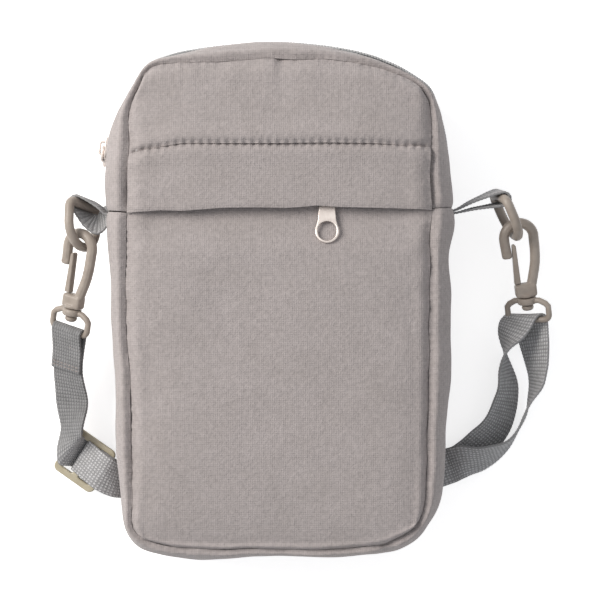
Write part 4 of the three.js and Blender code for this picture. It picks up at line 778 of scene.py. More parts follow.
ACROSS = np.linspace(0, 1, 220)
edges = (flap_edge, stitch_edge, seam_edge(flap_left, stitch_left), seam_edge(flap_right, stitch_right))
front_piece("storm_flap", "zip_flap", edges, eased(36), ACROSS, flap_height, FLAP_THICKNESS, 0.6)

# %% Upper panel
UPPER_LENGTH = 34


def upper_height(x, y, across, up):
    """The upper panel's outer face, with a small notch at the middle of the top seam."""
    point = (x, y, 0)
    side, end = (1 - abs(across)) * (60 - 16 * soft_step(y, 70, 98)), (1 - up) * UPPER_LENGTH
    low = y - line_height(STITCH_LINE, x)
    join = FLAP_RIM - FRONT_RIM - 0.2
    base = FRONT_RIM + FRONT_CROWN * crown(across, y) + join * math.exp(-low / 9) * crown(across, 60)
    notch = -2.0 * hump(x - 0.5, 1.8) * math.exp(-end / 5)
    grooves = (seam_groove(side, y, point, 15.0) + seam_groove(end, x, point, 16.0)) * soft_step(low, 0, 3)
    lumps = rumples(point, PANEL_LUMPS, 7.0) * soft_step(min(side, end), 0, 8)
    return base + grooves + stitch_dip(low, x) + notch + lumps


sides = seam_edge(stitch_left, TOP_LEFT), seam_edge(stitch_right, TOP_RIGHT)
edges = (stitch_edge, seam_edge(TOP_LEFT, TOP_RIGHT), *sides)
front_piece("upper_front", "upper_front_panel", edges, eased(60), ACROSS, upper_height, 2.0)
print("front: pocket, flap and upper panel")

# %% [markdown]
# ## Back, lining and zips
#
# The back panel takes the CAD solid's own shape, hollows and all, and is smoothed as stuffed cloth is.
# The divider, the bindings and the tapes are sheets. A zip's coil is a nylon wire wound along the tape's
# edge, so each coil is a thin tube that swells and thins once a turn.

# %% Back panel
def cad_copy(node, name):
    """A new object with a CAD node's shape, its place kept in the mesh."""
    source = next(o for o in bpy.data.objects if o.get("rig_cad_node") == node)
    mesh = source.data.copy()
    mesh.transform(source.matrix_world)
    mesh.materials.clear()
    return linked(name, mesh)


BACK_LUMPS, BACK_VOXEL = ((0.25, 22, 20), (0.12, 7, 21)), 1.1
back = cad_copy("back_panel", "back_pad")
apply_modifier(back, "WELD", merge_threshold=0.01 * MM)
apply_modifier(back, "REMESH", mode="VOXEL", voxel_size=BACK_VOXEL * MM)
apply_modifier(back, "SMOOTH", factor=0.5, iterations=6)
for vertex in back.data.vertices:
    x, y, z = np.array(vertex.co) / MM
    lift = rumples((x, y, z), BACK_LUMPS) * soft_step(z, 0.1, 1.5)
    vertex.co.z = max(vertex.co.z + lift * MM, 0)
back.data.shade_smooth()
back.data.materials.append(POLYESTER)
stand_for(back, "polyester", "back_panel")

# %% Divider and bindings
DIVIDER_RIM, DIVIDER_SAG, DIVIDER_INSET = 44.4, 4.6, 0.7


def divider_height(y, share):
    """The divider's height: it sags between the seams that hold it."""
    sag = (1 - abs(2 * share - 1) ** 8) * (1 - min(abs(y) / 100, 1) ** 12)
    return DIVIDER_RIM - DIVIDER_SAG * sag


level_edges = (BOTTOM_LEFT, BOTTOM_RIGHT), (TOP_LEFT, TOP_RIGHT)
side_edges = (BOTTOM_LEFT, TOP_LEFT), (BOTTOM_RIGHT - STATIONS, TOP_RIGHT)
edges = [seam_edge(*ends, DIVIDER_INSET) for ends in (*level_edges, *side_edges)]
patch = patch_points(*edges, eased(50), eased(40))
points = [[[*plan, divider_height(plan[1], s)] for plan, s, t in row] for row in patch]
divider = grid_mesh("pocket_divider", points, LINING)
pad_out(divider, 0.8, 0.2)
stand_for(divider, "lining", "divider_panel")

BINDING_HEIGHTS = {"front_seam_binding": 41.2, "back_seam_binding": 8.8}
BINDING_SECTION = [(-0.1, -1.3), (-0.1, 1.3), (-1.3, 1.3), (-1.3, -1.3), (-0.1, -1.3)]
along = np.linspace(0, STATIONS, 241)[:-1]
for node, height in BINDING_HEIGHTS.items():
    rows = [[[*seam_at(s, inset), height + rise] for inset, rise in BINDING_SECTION] for s in along]
    tape = grid_mesh(node.replace("seam", "rolled"), rows, LINING, closed=True)
    apply_modifier(tape, "WELD", merge_threshold=0.01 * MM)
    apply_modifier(tape, "BEVEL", width=0.3 * MM, segments=2, limit_method="ANGLE")
    stand_for(tape, "lining", node)

# %% Zip tapes
TAPE_THICKNESS = 0.6
TAPE_DEPTH, TAPE_BULGE, BAND_HALF = 2.1, 0.9, 6


def zip_depth(station, rise, depth):
    """A depth in the zip's band, which leans at the corner where the zip is pushed out."""
    share = rise / BAND_HALF
    return depth + at_corner(station) * (CORNER_DRAW * max(share, 0) - TAPE_BULGE * max(1 - abs(share), 0))


def zip_tape(node, rows):
    """One side's tape, over rows of points on its outer face."""
    tape = grid_mesh(node.replace("tape", "zip_tape"), rows, ZIP_TAPE)
    pad_out(tape, TAPE_THICKNESS, 0.12)
    stand_for(tape, "zip_tape", node)


along, _ = stations_between(*upper_ends, 2.0)
for node, low, high in (("main_tape_front", 0.3, 8), ("main_tape_back", -8, -0.3)):
    rises = [(rise, angle_at(rise)) for rise in np.linspace(high, low, 6)]
    zip_tape(node, [[gusset_point(s, a, zip_depth(s, r, TAPE_DEPTH)) for r, a in rises] for s in along])

POCKET_ZIP_Y, POCKET_TAPE_TOP, POCKET_TAPE_HALF = 43, 42.5, 59
POCKET_TAPE_SHAPES = {
    "pocket_tape_lower": [(-5.95, 0), (-3, 0.05), (-0.15, 0)],
    "pocket_tape_upper": [(0.15, 0), (5, 0), (9.4, 0), (14, 2.3), (18.8, 4.8)],
}
along = np.linspace(POCKET_TAPE_HALF, -POCKET_TAPE_HALF, 60)
for node, shape in POCKET_TAPE_SHAPES.items():
    zip_tape(node, [[[x, POCKET_ZIP_Y + y, POCKET_TAPE_TOP + z] for y, z in shape] for x in along])

# %% Coils
TURN_PITCH, SAMPLES_A_TURN = 1.3, 5
COIL_STEP = TURN_PITCH / SAMPLES_A_TURN
COIL_ANGLES = np.radians(np.arange(0, 361, 45))
MAIN_COIL_RISE, MAIN_COIL_DEPTH = 1.375, 1.2
POCKET_COIL_RISE, POCKET_COIL_TOP, POCKET_COIL_HALF = 0.92, 43.45, 53.6


def coil_tube(node, centres, aside, rises, half_width, half_height):
    """A tube round a line of centres that swells once a turn, over its directions aside and up."""
    rows = []
    for i, (centre, rise) in enumerate(zip(centres, rises)):
        swell = 0.72 + 0.28 * abs(math.sin(math.pi * i / SAMPLES_A_TURN)) ** 0.6
        wide, high = aside * half_width * swell, rise * half_height * swell
        rows.append([centre + wide * math.cos(a) + high * math.sin(a) for a in COIL_ANGLES])
    made = grid_mesh(node + "_turns", rows, COIL_PLASTIC)
    apply_modifier(made, "WELD", merge_threshold=0.01 * MM)
    stand_for(made, "zip_coil", node)


coil_stations, _ = stations_between(SEAM_GAP + 0.12, LEFT_SEAM - SEAM_GAP - 0.12, COIL_STEP)
places = [(s, zip_depth(s, MAIN_COIL_RISE, MAIN_COIL_DEPTH)) for s in coil_stations]
for node, sign in (("main_coil_front", 1), ("main_coil_back", -1)):
    angle = angle_at(MAIN_COIL_RISE * sign)
    centres = [gusset_point(s, angle, depth) for s, depth in places]
    rises = [centre - gusset_point(s, angle, depth + 1) for centre, (s, depth) in zip(centres, places)]
    coil_tube(node, centres, -UP, rises, 1.2, 0.6)
along = np.arange(-POCKET_COIL_HALF, POCKET_COIL_HALF, COIL_STEP)
for node, sign in (("pocket_coil_lower", -1), ("pocket_coil_upper", 1)):
    centres = [np.array([x, POCKET_ZIP_Y + POCKET_COIL_RISE * sign, POCKET_COIL_TOP]) for x in along]
    coil_tube(node, centres, Y_AXIS, [UP] * len(centres), 0.75, 0.65)
print("back, lining, tapes and coils")

# %% [markdown]
# ## Hardware
#
# Each piece of hardware is modelled in a frame of its own, then its mesh is moved to its place: an origin
# and two directions. Round wires are curves with a round bevel; plates are flat curves with holes,
# given a thickness and a rounded edge.

# %% Frames
def frame_at(origin, x_axis, y_axis):
    """A placing matrix in metres from an origin in millimetres and two directions."""
    x = Vector(x_axis).normalized()
    z = x.cross(Vector(y_axis)).normalized()
    y = z.cross(x)
    made = Matrix((x, y, z)).transposed().to_4x4()
    made.translation = Vector(origin) * MM
    return made


HOOK_LEFT = frame_at((-87.329, -3.299, 22.651), (0.822, -0.2691, 0.502), (0.16, 0.9549, 0.25))
RIGHT_STEM = (104.462, 1.411, 14.604), (-0.1301, 0.9594, 0.2501)
HOOK_RIGHT = frame_at(RIGHT_STEM[0], (0.9866, 0.1502, -0.0633), RIGHT_STEM[1])
FRAMES = {
    "pocket_slider": frame_at((16.9, 43, 44.1), (1, 0, 0), (0, 1, 0)),
    "pocket_puller": frame_at((19.5, 43, 46.3), (1, 0, 0), (0, 0.9781, -0.2079)),
    "main_slider": frame_at((-72.021, 63.555, 25), (-0.1116, -0.9938, 0), (0, 0, 1)),
    "main_puller": frame_at((-74.433, 61.552, 25), (0.1116, 0.9938, 0), (0, 0, 1)),
    "d_ring_left": frame_at((-82.5, 39.82, 25.2), (0.5011, -0.2004, -0.8419), (-0.0229, -0.9755, 0.2186)),
    "d_ring_right": frame_at((92.29, 42.97, 25), (-0.202, 0.1265, -0.9712), (0.3998, -0.8946, -0.1997)),
    "hook_left": HOOK_LEFT,
    "gate_left": HOOK_LEFT,
    "swivel_loop_left": HOOK_LEFT,
    "hook_right": HOOK_RIGHT,
    "gate_right": HOOK_RIGHT,
    "swivel_loop_right": frame_at(RIGHT_STEM[0], (0.9036, 0.0109, 0.4282), RIGHT_STEM[1]),
    "strap_adjuster": frame_at((-83.5, -68.5, 6), (0.8189, -0.5612, 0.1199), (0.5338, 0.8216, 0.1999)),
}


# %% Curve helpers
def arc(centre, radius, start, end, count=16):
    """Points on an arc, angles in degrees."""
    turns = np.radians(np.linspace(start, end, count + 1))
    return [(centre[0] + radius * math.cos(a), centre[1] + radius * math.sin(a)) for a in turns]


def curve_mesh(name, splines, **settings):
    """A mesh from closed or open poly splines with a bevel; settings go to the curve."""
    curve = bpy.data.curves.new(name, "CURVE")
    for key, value in settings.items():
        setattr(curve, key, value)
    for points, closed in splines:
        spline = curve.splines.new("POLY")
        spline.points.add(len(points) - 1)
        for target, point in zip(spline.points, points):
            x, y, z = (*point, 0)[:3]
            target.co = (x * MM, y * MM, z * MM, 1)
        spline.use_cyclic_u = closed
    select_only(linked(name, curve))
    bpy.ops.object.convert(target="MESH")
    return bpy.context.object


def round_wire(name, points, radius, closed=False):
    """A wire of a radius along points."""
    section = {"bevel_depth": radius * MM, "bevel_resolution": 3, "use_fill_caps": True}
    return curve_mesh(name, [(points, closed)], dimensions="3D", **section)


def plate(name, outline, holes, thickness, edge):
    """A flat plate with holes and a rounded edge."""
    splines = [(line, True) for line in (outline, *holes)]
    section = {"bevel_depth": edge * MM, "bevel_resolution": 2, "offset": -edge * MM}
    core = (thickness / 2 - edge) * MM
    return curve_mesh(name, splines, dimensions="2D", fill_mode="BOTH", extrude=core, **section)


def block(name, size, centre, edge=0.3):
    """A box with rounded edges."""
    bpy.ops.mesh.primitive_cube_add(size=1)
    made = bpy.context.object
    made.name = name
    made.data.transform(Matrix.Translation(Vector(centre) * MM) @ Matrix.Diagonal((*(Vector(size) * MM), 1)))
    apply_modifier(made, "BEVEL", width=edge * MM, segments=3)
    return made


def turned(name, profile, sides=32):
    """A solid turned round the Y axis from pairs of radius and height."""
    angles = np.linspace(0, 2 * math.pi, sides, endpoint=False)
    rings = [[(r * math.cos(a), y, r * math.sin(a)) for r, y in profile] for a in angles]
    made = grid_mesh(name, rings, TAUPE_PLASTIC, closed=True)
    apply_modifier(made, "WELD", merge_threshold=0.001 * MM)
    outwards(made)
    return made


def outwards(obj):
    """Turns all faces outward."""
    select_only(obj)
    bpy.ops.object.mode_set(mode="EDIT")
    bpy.ops.mesh.select_all(action="SELECT")
    bpy.ops.mesh.normals_make_consistent(inside=False)
    bpy.ops.object.mode_set(mode="OBJECT")


def merged(name, pieces):
    """Joins pieces into the first."""
    select_only(pieces[0])
    for piece in pieces[1:]:
        piece.select_set(True)
    bpy.ops.object.join()
    made = bpy.context.object
    made.name = name
    return made


HARD_FINISHES = {"taupe_plastic": TAUPE_PLASTIC, "cream_plastic": CREAM_PLASTIC, "nickel": NICKEL}


def place_hardware(obj, node, slot, body):
    """Smooths a finished piece, gives it its slot's finish, and moves it to its node's frame."""
    obj.data.materials.clear()
    obj.data.materials.append(HARD_FINISHES[slot])
    outwards(obj)
    obj.data.shade_smooth()
    obj.data.set_sharp_from_angle(angle=math.radians(50))
    obj.data.transform(FRAMES[node])
    return stand_for(obj, slot, node, body=body)


# %% D-rings
RING_POINTS = arc((7, 3), 3, -90, 0, 8) + arc((0, 8), 10, 0, 180, 28)[1:-1] + arc((-7, 3), 3, 180, 270, 8)
for side in ("left", "right"):
    ring = round_wire("ring_" + side, RING_POINTS, 2, closed=True)
    place_hardware(ring, "d_ring_" + side, "taupe_plastic", "d_ring_" + side)

# %% Snap hooks
HOOK_EYE = (-0.5, 26)
BEND = arc(HOOK_EYE, 6.3, -8, 180, 30)
SPINE = [(2.2, 3), (3.6, 8.2), (5.1, 14), (5.7, 20), *BEND, (-6.6, 22), (-6.3, 18)]
HOOK_STEM = [(0, 1.6), (1.6, 1.6), (1.6, -3.5), (2.3, -3.7), (2.6, -4.3), (2.5, -5.1), (1.8, -5.8), (0, -6)]


def hook_body(name):
    """Spine, base and stem, melted together as one moulding."""
    bent = curve_through([(x, y, 0) for x, y in SPINE], False)
    spine = round_wire(name, [tuple(bent(u)) for u in np.linspace(0, len(SPINE) - 1, 70)], 2.2)
    tip = block("tip", (4.2, 3, 4.2), (-6.35, 19.1, 0), 1.2)
    base = block("base", (9.2, 6, 5.4), (0, 3, 0), 1.3)
    collar = turned("collar", [(0, 0.1), (3.3, 0.1), (3.5, 0.5), (3.5, 1.6), (0, 1.6)])
    stem = turned("stem", HOOK_STEM)
    made = merged(name, [spine, tip, base, collar, stem])
    apply_modifier(made, "REMESH", mode="VOXEL", voxel_size=0.33 * MM)
    apply_modifier(made, "SMOOTH", factor=0.5, iterations=3)
    return made


GATE_OUTLINE = [(-1.9, 6.3), (-2.3, 22.7), (-2.7, 23.3), (-3.5, 23.3), (-3.9, 22.7), (-4.5, 6.3)]
for side in ("left", "right"):
    hook = hook_body("snap_hook_" + side)
    place_hardware(hook, "hook_" + side, "taupe_plastic", "hook_" + side)
    gate = plate("sprung_gate_" + side, GATE_OUTLINE, [], 3.2, 0.45)
    place_hardware(gate, "gate_" + side, "taupe_plastic", "gate_" + side)

# %% Swivel loops
LOOP_ARM = [(3.2, -1.65), (5.4, -1.65), (8, -2.95), (9.2, -4.3)] + arc((6.8, -7.8), 2.4, 0, -90, 8)
BOSS = [(2.05, -3), (3.7, -3), (4, -2.7), (4, -0.6), (3.7, -0.3), (2.05, -0.3), (2.05, -3)]
for side in ("left", "right"):
    wire = round_wire("loop_wire_" + side, LOOP_ARM + [(-x, y) for x, y in reversed(LOOP_ARM)], 1.3)
    loop = merged("loop_" + side, [wire, turned("boss", BOSS)])
    place_hardware(loop, "swivel_loop_" + side, "taupe_plastic", "loop_" + side)

# %% Adjuster
def rounded_box(half_x, half_y, corner, centre=(0, 0)):
    """The outline of a rounded rectangle."""
    made = []
    for start, (x, y) in zip((0, 90, 180, 270), ((1, 1), (-1, 1), (-1, -1), (1, -1))):
        turn = centre[0] + x * (half_x - corner), centre[1] + y * (half_y - corner)
        made += arc(turn, corner, start, start + 90, 6)
    return made


slots = [rounded_box(3.0, 7.85, 0.9, (sign * 4.42, 0)) for sign in (-1, 1)]
adjuster = plate("slotted_adjuster", rounded_box(10.25, 10.75, 2.5), slots, 2.2, 0.55)
place_hardware(adjuster, "strap_adjuster", "cream_plastic", "root")

# %% Zip sliders and pullers
SLIDER_OUTLINE = [(-4.5, -3.7), (2.25, -3.7), (4.5, -1.85), (4.5, 1.85), (2.25, 3.7), (-4.5, 3.7)]
BAIL_LEG = [(-2.6, 0, 0.9), (-2.6, 0, 2.9), (-2.3, 0, 3.5), (-1.8, 0, 3.7)]
BAIL = BAIL_LEG + [(-x, y, z) for x, y, z in reversed(BAIL_LEG)]
NECK = [(-1.6, 1.7), (-2.7, 1.2), (-3.2, 0.1), (-3.2, -3.2), (-3.8, -10.5)]
PULLER_OUTLINE = NECK + arc((0, -15), 5, 180, 360, 28) + [(-x, y) for x, y in reversed(NECK)]
PULLER_HOLE = arc((0, -14.6), 3.85, 0, 180, 16) + arc((0, -15.4), 3.85, 180, 360, 16)
PULLER_EYE = rounded_box(1.5, 1.65, 0.4, (0, -0.75))
PULLER_RIM = arc((0, -14.8), 4.42, -20, 200, 20) + arc((0, -15.1), 4.42, 200, 340, 20)[1:-1]


def slider(name):
    """A slider's top plate with its two flanges and its bail."""
    top = plate(name, SLIDER_OUTLINE, [], 1, 0.3)
    top.data.transform(Matrix.Translation((0, 0, 0.8 * MM)))
    flanges = [block("flange", (6.75, 0.75, 2.5), (-1.1, sign * 3.32, 0.05), 0.2) for sign in (-1, 1)]
    return merged(name, [top, *flanges, round_wire("bail", BAIL, 0.6)])


for zip_name in ("pocket", "main"):
    made = slider(zip_name + "_zip_slider")
    place_hardware(made, zip_name + "_slider", "nickel", zip_name + "_slider")
    tag = plate(zip_name + "_zip_puller", PULLER_OUTLINE, [PULLER_HOLE, PULLER_EYE], 1, 0.3)
    rim = round_wire("rim", PULLER_RIM, 0.55, closed=True)
    made = merged(zip_name + "_zip_puller", [tag, rim])
    place_hardware(made, zip_name + "_puller", "nickel", zip_name + "_puller")

# %% Zip end stops
for side, sign in (("left", -1), ("right", 1)):
    stop = block("pocket_end_stop_" + side, (2, 3.4, 1.3), (sign * 55, POCKET_ZIP_Y, POCKET_COIL_TOP))
    FRAMES["pocket_stop_" + side] = Matrix.Identity(4)
    place_hardware(stop, "pocket_stop_" + side, "nickel", "root")
for side, station, ahead in (("right", SEAM_GAP, 1), ("left", LEFT_SEAM - SEAM_GAP, -1)):
    centre = gusset_point(station, 0, 1.2)
    along_crest = crest_at(station + 0.02 * ahead) - crest_at(station)
    FRAMES["main_stop_" + side] = frame_at(centre, (*along_crest, 0), (0, 0, 1))
    stop = block("main_end_stop_" + side, (2, 5.2, 1.2), (1.15, 0, 0))
    place_hardware(stop, "main_stop_" + side, "nickel", "root")
print("hardware: rings, hooks, gates, loops, adjuster, sliders, pullers and stops")

# %% [markdown]
# ## Webbing
#
# The strap is one length of webbing, so here it is one ribbon, from its end sewn in front of the left loop
# to its other end, sewn round the adjuster's middle bar. Its middle line goes through marks, each with the
# direction of the webbing's width there. Ribs across it are real relief; the finer weave is in the
# material. The stretch that lies hidden under the bag is coarser and plain.

# %% Marks and runs
HALF_WEBBING, WEBBING_THICKNESS, LAYER = 7.5, 1.0, 1.3
LOOP_BAR_DROP, WRAP_RADIUS = 10.2, 2.1
ADJUSTER_HALF, ADJUSTER_THICKNESS = 10.25, 2.2
# The webbing lies a little to one side in the adjuster, and its twist is evened out over a length.
WEBBING_ASIDE, TWIST_BLEND = 1.2, 4.0
RIB_RELIEF, FRAY = 0.09, 0.12


def unit(vector):
    """A direction of length 1."""
    return np.asarray(vector, float) / np.linalg.norm(vector)


def axes_of(node):
    """A frame's origin in millimetres and its three axes."""
    made = np.array(FRAMES[node])
    return made[:3, 3] / MM, made[:3, 0], made[:3, 1], made[:3, 2]


def run_through(marks, pitch):
    """Places about a pitch apart on a curve through marks, with the width's direction there."""
    centres = [np.asarray(m[0], float) for m in marks]
    widths = [unit(m[1]) for m in marks]
    spreads = [m[2] if len(m) > 2 else 1 for m in marks]
    for i in range(1, len(widths)):
        if widths[i] @ widths[i - 1] < 0:
            widths[i] = -widths[i]
    at = curve_through(centres, False)
    fine = np.linspace(0, len(marks) - 1, 60 * len(marks))
    places = np.array([at(u) for u in fine])
    length = running_length(places)
    wanted = np.interp(np.linspace(0, length[-1], int(length[-1] / pitch) + 2), length, fine)
    turned = []
    for u in wanted:
        i = min(int(u), len(marks) - 2)
        share = soft_step(u - i, 0, 1) * 0.5 + (u - i) * 0.5
        tangent = unit(at(min(u + 0.01, len(marks) - 1)) - at(max(u - 0.01, 0)))
        width = widths[i] * (1 - share) + widths[i + 1] * share
        width = unit(width - 0.4 * tangent * (width @ tangent))
        turned.append(width * (spreads[i] * (1 - share) + spreads[i + 1] * share))
    reach = int(TWIST_BLEND / pitch)
    padded = np.pad(turned, ((reach, reach), (0, 0)), mode="edge")
    blended = np.array([padded[i : i + 2 * reach + 1].mean(axis=0) for i in range(len(turned))])
    return [(at(u), width) for u, width in zip(wanted, blended)]


def ribbon_piece(name, runs, painted_shade=lambda length: 0.0):
    """A ribbon and its length. Each of its runs is a list of places and whether its ribs show; the last
    argument gives, by length, the share of painted shade.
    """
    places = []
    for run, ribbed in runs:
        for centre, width in run:
            if places and np.linalg.norm(centre - places[-1][0]) < 0.1:
                continue
            if places and width @ places[-1][1] < 0:
                width = -width
            places.append((centre, width, ribbed))
    centres = np.array([p[0] for p in places])
    length = running_length(centres)
    across = np.array([-1, -0.93, -0.6, -0.2, 0.2, 0.6, 0.93, 1])
    rows, lengths, painted_shade_shares = [], [], []
    for i, (centre, width, ribbed) in enumerate(places):
        tangent = unit(centres[min(i + 1, len(places) - 1)] - centres[max(i - 1, 0)])
        face = unit(np.cross(tangent, width))
        relief = RIB_RELIEF * math.sin(2 * math.pi * length[i] / RIB_PITCH) if ribbed else 0
        edge = FRAY * rumple(centre, 5, 30)
        reach = [HALF_WEBBING * t + (edge * t if abs(t) > 0.9 else 0) for t in across]
        rows.append([centre + width * r + face * relief for r in reach])
        lengths.append([(length[i], HALF_WEBBING * t) for t in across])
        painted_shade_shares += [painted_shade(length[i])] * len(across)
    made = grid_mesh(name, rows, WEBBING, lengths=lengths)
    # Each point's share of painted shade, which the webbing material darkens the colour by.
    made.data.attributes.new("painted_shade", "FLOAT", "POINT").data.foreach_set("value", painted_shade_shares)
    core = (WEBBING_THICKNESS - 0.1) * MM
    apply_modifier(made, "SOLIDIFY", thickness=core, offset=0, use_even_offset=False)
    made.data.shade_smooth()
    return made, length[-1]


# %% The folded stretch under the bag
def in_shares(x, y, z=0.0):
    """A place in shares of the bag's half width, half height and depth."""
    return np.array([x * HALF_WIDTH, y * HALF_HEIGHT, z * 2 * MID_DEPTH])


ROUTE_CORNERS = ((-0.803, -0.732), (-0.303, -0.811), (0.524, 0.415), (0.455, -0.793), (0.966, -0.664))
STRAP_ROUTE = [in_shares(x, y) for x, y in ROUTE_CORNERS]


def level(layer):
    """The height of a layer's middle over the table."""
    return WEBBING_THICKNESS / 2 + layer * LAYER


HIDDEN_PITCH = 2.5


def folded_run(layer, holds, folds):
    """The hidden route: straight on the table, and turned over a crease at each corner.

    A fold goes from its low level to its high one. A hold keeps the webbing high for a number of its own
    widths, after which it comes down to the layer given with it.
    """
    made = []
    for i, corner in enumerate(STRAP_ROUTE):
        before = unit(corner - STRAP_ROUTE[i - 1]) if i else None
        after = unit(STRAP_ROUTE[i + 1] - corner) if i < len(STRAP_ROUTE) - 1 else None
        if before is None or after is None:
            travel = before if after is None else after
            made.append((corner + UP * level(layer), np.cross(UP, travel)))
            continue
        crease = unit(before + after)
        opening = math.acos(before @ crease)
        outward = unit(before - crease * (before @ crease))
        set_back = HALF_WEBBING / math.tan(opening)
        low, high = folds[i - 1]
        radius = (level(high) - level(low)) / 2
        made.append((corner - before * set_back + UP * level(low), np.cross(UP, before)))
        for angle in np.radians(np.arange(0, 181, 22.5)):
            height = level(low) + radius * (1 - math.cos(angle))
            centre = corner + outward * radius * math.sin(angle) + UP * height
            made.append((centre, crease / math.sin(opening)))
        hold, layer = holds[i - 1][0] * 2 * HALF_WEBBING, holds[i - 1][1]
        for distance, height in ((set_back, high), (hold, high), (hold + 6, layer)):
            made.append((corner + after * distance + UP * level(height), np.cross(UP, after)))
    finer = []
    for (a, across_a), (b, across_b) in zip(made, made[1:]):
        across_b = across_b if across_a @ across_b > 0 else -across_b
        count = max(int(np.linalg.norm(b - a) / HIDDEN_PITCH), 1)
        for k in range(count):
            finer.append((a + (b - a) * k / count, across_a + (across_b - across_a) * k / count))
    return finer + [made[-1]]


lower_run = folded_run(0, ((1.6, 1), (2.8, 0), (1.2, 1)), ((0, 3), (1, 2), (0, 3)))
upper_run = folded_run(1, ((1.333, 0), (3.067, 1), (0.933, 0)), ((1, 2), (0, 3), (1, 2)))


# %% Marks round the loops and through the adjuster
def loop_marks(node):
    """The half turn round a loop's bar, from behind to the front, and the bar's own axes."""
    origin, axis, up, front = axes_of(node)
    bar = origin - up * LOOP_BAR_DROP
    turns = math.pi * (np.linspace(0, 1, 7) - 0.5)
    wrap = [(bar + up * WRAP_RADIUS * math.cos(a) + front * WRAP_RADIUS * math.sin(a), axis) for a in turns]
    return bar, axis, -up, front, wrap


adjuster_centre, travel_axis, bar_axis, face_axis = axes_of("strap_adjuster")
HOLLOW_DEPTH = 5.7
towards_bag = unit(STRAP_ROUTE[1] - STRAP_ROUTE[0])
leaving_bag = unit(STRAP_ROUTE[4] - STRAP_ROUTE[3])


def woven(*shares):
    """Marks in the adjuster, in shares of its half length and its thickness."""
    middle = adjuster_centre + bar_axis * WEBBING_ASIDE
    ahead, out = travel_axis * ADJUSTER_HALF, face_axis * ADJUSTER_THICKNESS
    return [(middle + ahead * x + out * z, bar_axis) for x, z in shares]


def on_route(distance, height):
    """A mark before the start of the hidden route."""
    return (STRAP_ROUTE[0] - towards_bag * distance + UP * height, np.cross(UP, towards_bag))


def approaching(*shares):
    """Marks between the adjuster and the bag, in shares of the webbing's width and the hollow's depth."""
    return [on_route(distance * 2 * HALF_WEBBING, height * HOLLOW_DEPTH) for distance, height in shares]


def held(*places):
    """Marks in shares of the bag, with the width's tilt in degrees."""
    points = [in_shares(x, y, z) for x, y, z, _ in places]
    made = []
    for i, centre in enumerate(points):
        ahead = points[min(i + 1, len(points) - 1)] - points[max(i - 1, 0)]
        tilt = math.radians(places[i][3])
        made.append((centre, unit(np.cross(UP, ahead)) * math.cos(tilt) + UP * math.sin(tilt)))
    return made


def leaving(run, lift):
    """Two marks past the end of a hidden run."""
    end, across = run[-1][0], np.cross(UP, leaving_bag)
    return [(end + leaving_bag * 0.3, across), (end + leaving_bag * 3 + UP * lift, across)]


# %% Strap
bar, axis, down, front, wrap = loop_marks("swivel_loop_left")


def below_loop(rise):
    """Two marks below the left loop, on the layer at a rise in front of the bar."""
    return [(bar + down * length + axis * length / 10 + front * rise, axis) for length in (8.5, 17)]


left_marks = (
    below_loop(LAYER / 2)[::-1]
    + wrap[::-1]
    + below_loop(-LAYER / 2 - 0.3)
    + [(in_shares(-1.22, -0.393, 0.25), (0.93, -0.15, 0.33))]
    + [(in_shares(-1.218, -0.5, 0.28), (0.62, 0.1, 0.78))]
    + woven((-0.68, 2.6), (-0.56, 1.0), (-0.498, 0), (-0.39, -0.909), (-0.195, -1.5), (0, -1.545))
)
slider_marks = (
    woven((0.029, -1.545), (0.195, -1.455), (0.41, -0.636), (0.585, 0.409), (0.839, 0.909), (1.054, 0.705))
    + approaching((0.8, 0.877), (0.547, 0.474), (0.367, 0.237), (0.133, 0.105))
    + [on_route(0.3, level(0))]
)
sewn_marks = (
    woven(
        (1.073, 1.591), (0.839, 1.545), (0.546, 1.136), (0.341, -0.182), (0.156, -0.864), (-0.098, -0.886),
        (-0.254, -0.273), (-0.234, 0.545), (0, 0.955), (0.39, 1.636), (0.839, 2.182), (1.054, 2.091),
    )
    + approaching((0.84, 1.579), (0.547, 0.684), (0.367, 0.474), (0.133, 0.333))
    + [on_route(0.3, level(1))]
)
bar, axis, down, front, wrap = loop_marks("swivel_loop_right")
inner_marks = (
    leaving(upper_run, 0.15)
    + held(
        (1.076, -0.632, 0.062, 9), (1.172, -0.575, 0.104, 20), (1.277, -0.492, 0.14, 35),
        (1.326, -0.394, 0.18, 45), (1.338, -0.335, 0.19, 53), (1.322, -0.264, 0.2, 65),
        (1.316, -0.205, 0.22, 86), (1.325, -0.16, 0.25, 112), (1.355, -0.122, 0.275, 142),
    )
    + [(centre - axis * 4.5 * (1 - i / 6), width) for i, (centre, width) in enumerate(wrap[::-1])]
)
outer_marks = (
    leaving(lower_run, 0.6)
    + held(
        (1.076, -0.634, 0.14, 24), (1.178, -0.625, 0.15, 46), (1.268, -0.599, 0.14, 60),
        (1.343, -0.564, 0.15, 78), (1.403, -0.505, 0.16, 85), (1.439, -0.453, 0.17, 80),
        (1.468, -0.394, 0.18, 90), (1.503, -0.335, 0.18, 107), (1.509, -0.276, 0.19, 117),
        (1.501, -0.217, 0.2, 131), (1.49, -0.165, 0.21, 140),
    )
    + [(wrap[0][0] + down * 3.75, axis), (wrap[0][0] + down * 0.3, axis)]
)
FINE = RIB_PITCH / 5
strap_runs = [
    (run_through(left_marks, FINE), True),
    (run_through(slider_marks, FINE), True),
    (lower_run, False),
    (run_through(outer_marks, FINE), True),
    (run_through(inner_marks, FINE)[::-1], True),
    (upper_run[::-1], False),
    (run_through(sewn_marks, FINE)[::-1], True),
]
# From the sewn end at the left loop to about 66 mm along, the strap gets full painted shade, which fades out
# by 80 mm.
strap, strap_length = ribbon_piece("strap_webbing", strap_runs, lambda length: 1 - soft_step(length, 66, 80))
LEFT_PARTS = ("strap_left_run", "strap_slider_run", "strap_sewn_end")
HIDDEN_PARTS = ("strap_under_lower", "strap_under_upper")
stand_for(strap, "webbing", *LEFT_PARTS, *HIDDEN_PARTS, "strap_right_inner", "strap_right_outer")
print("strap:", round(strap_length), "mm of webbing,", len(strap.data.polygons), "faces")

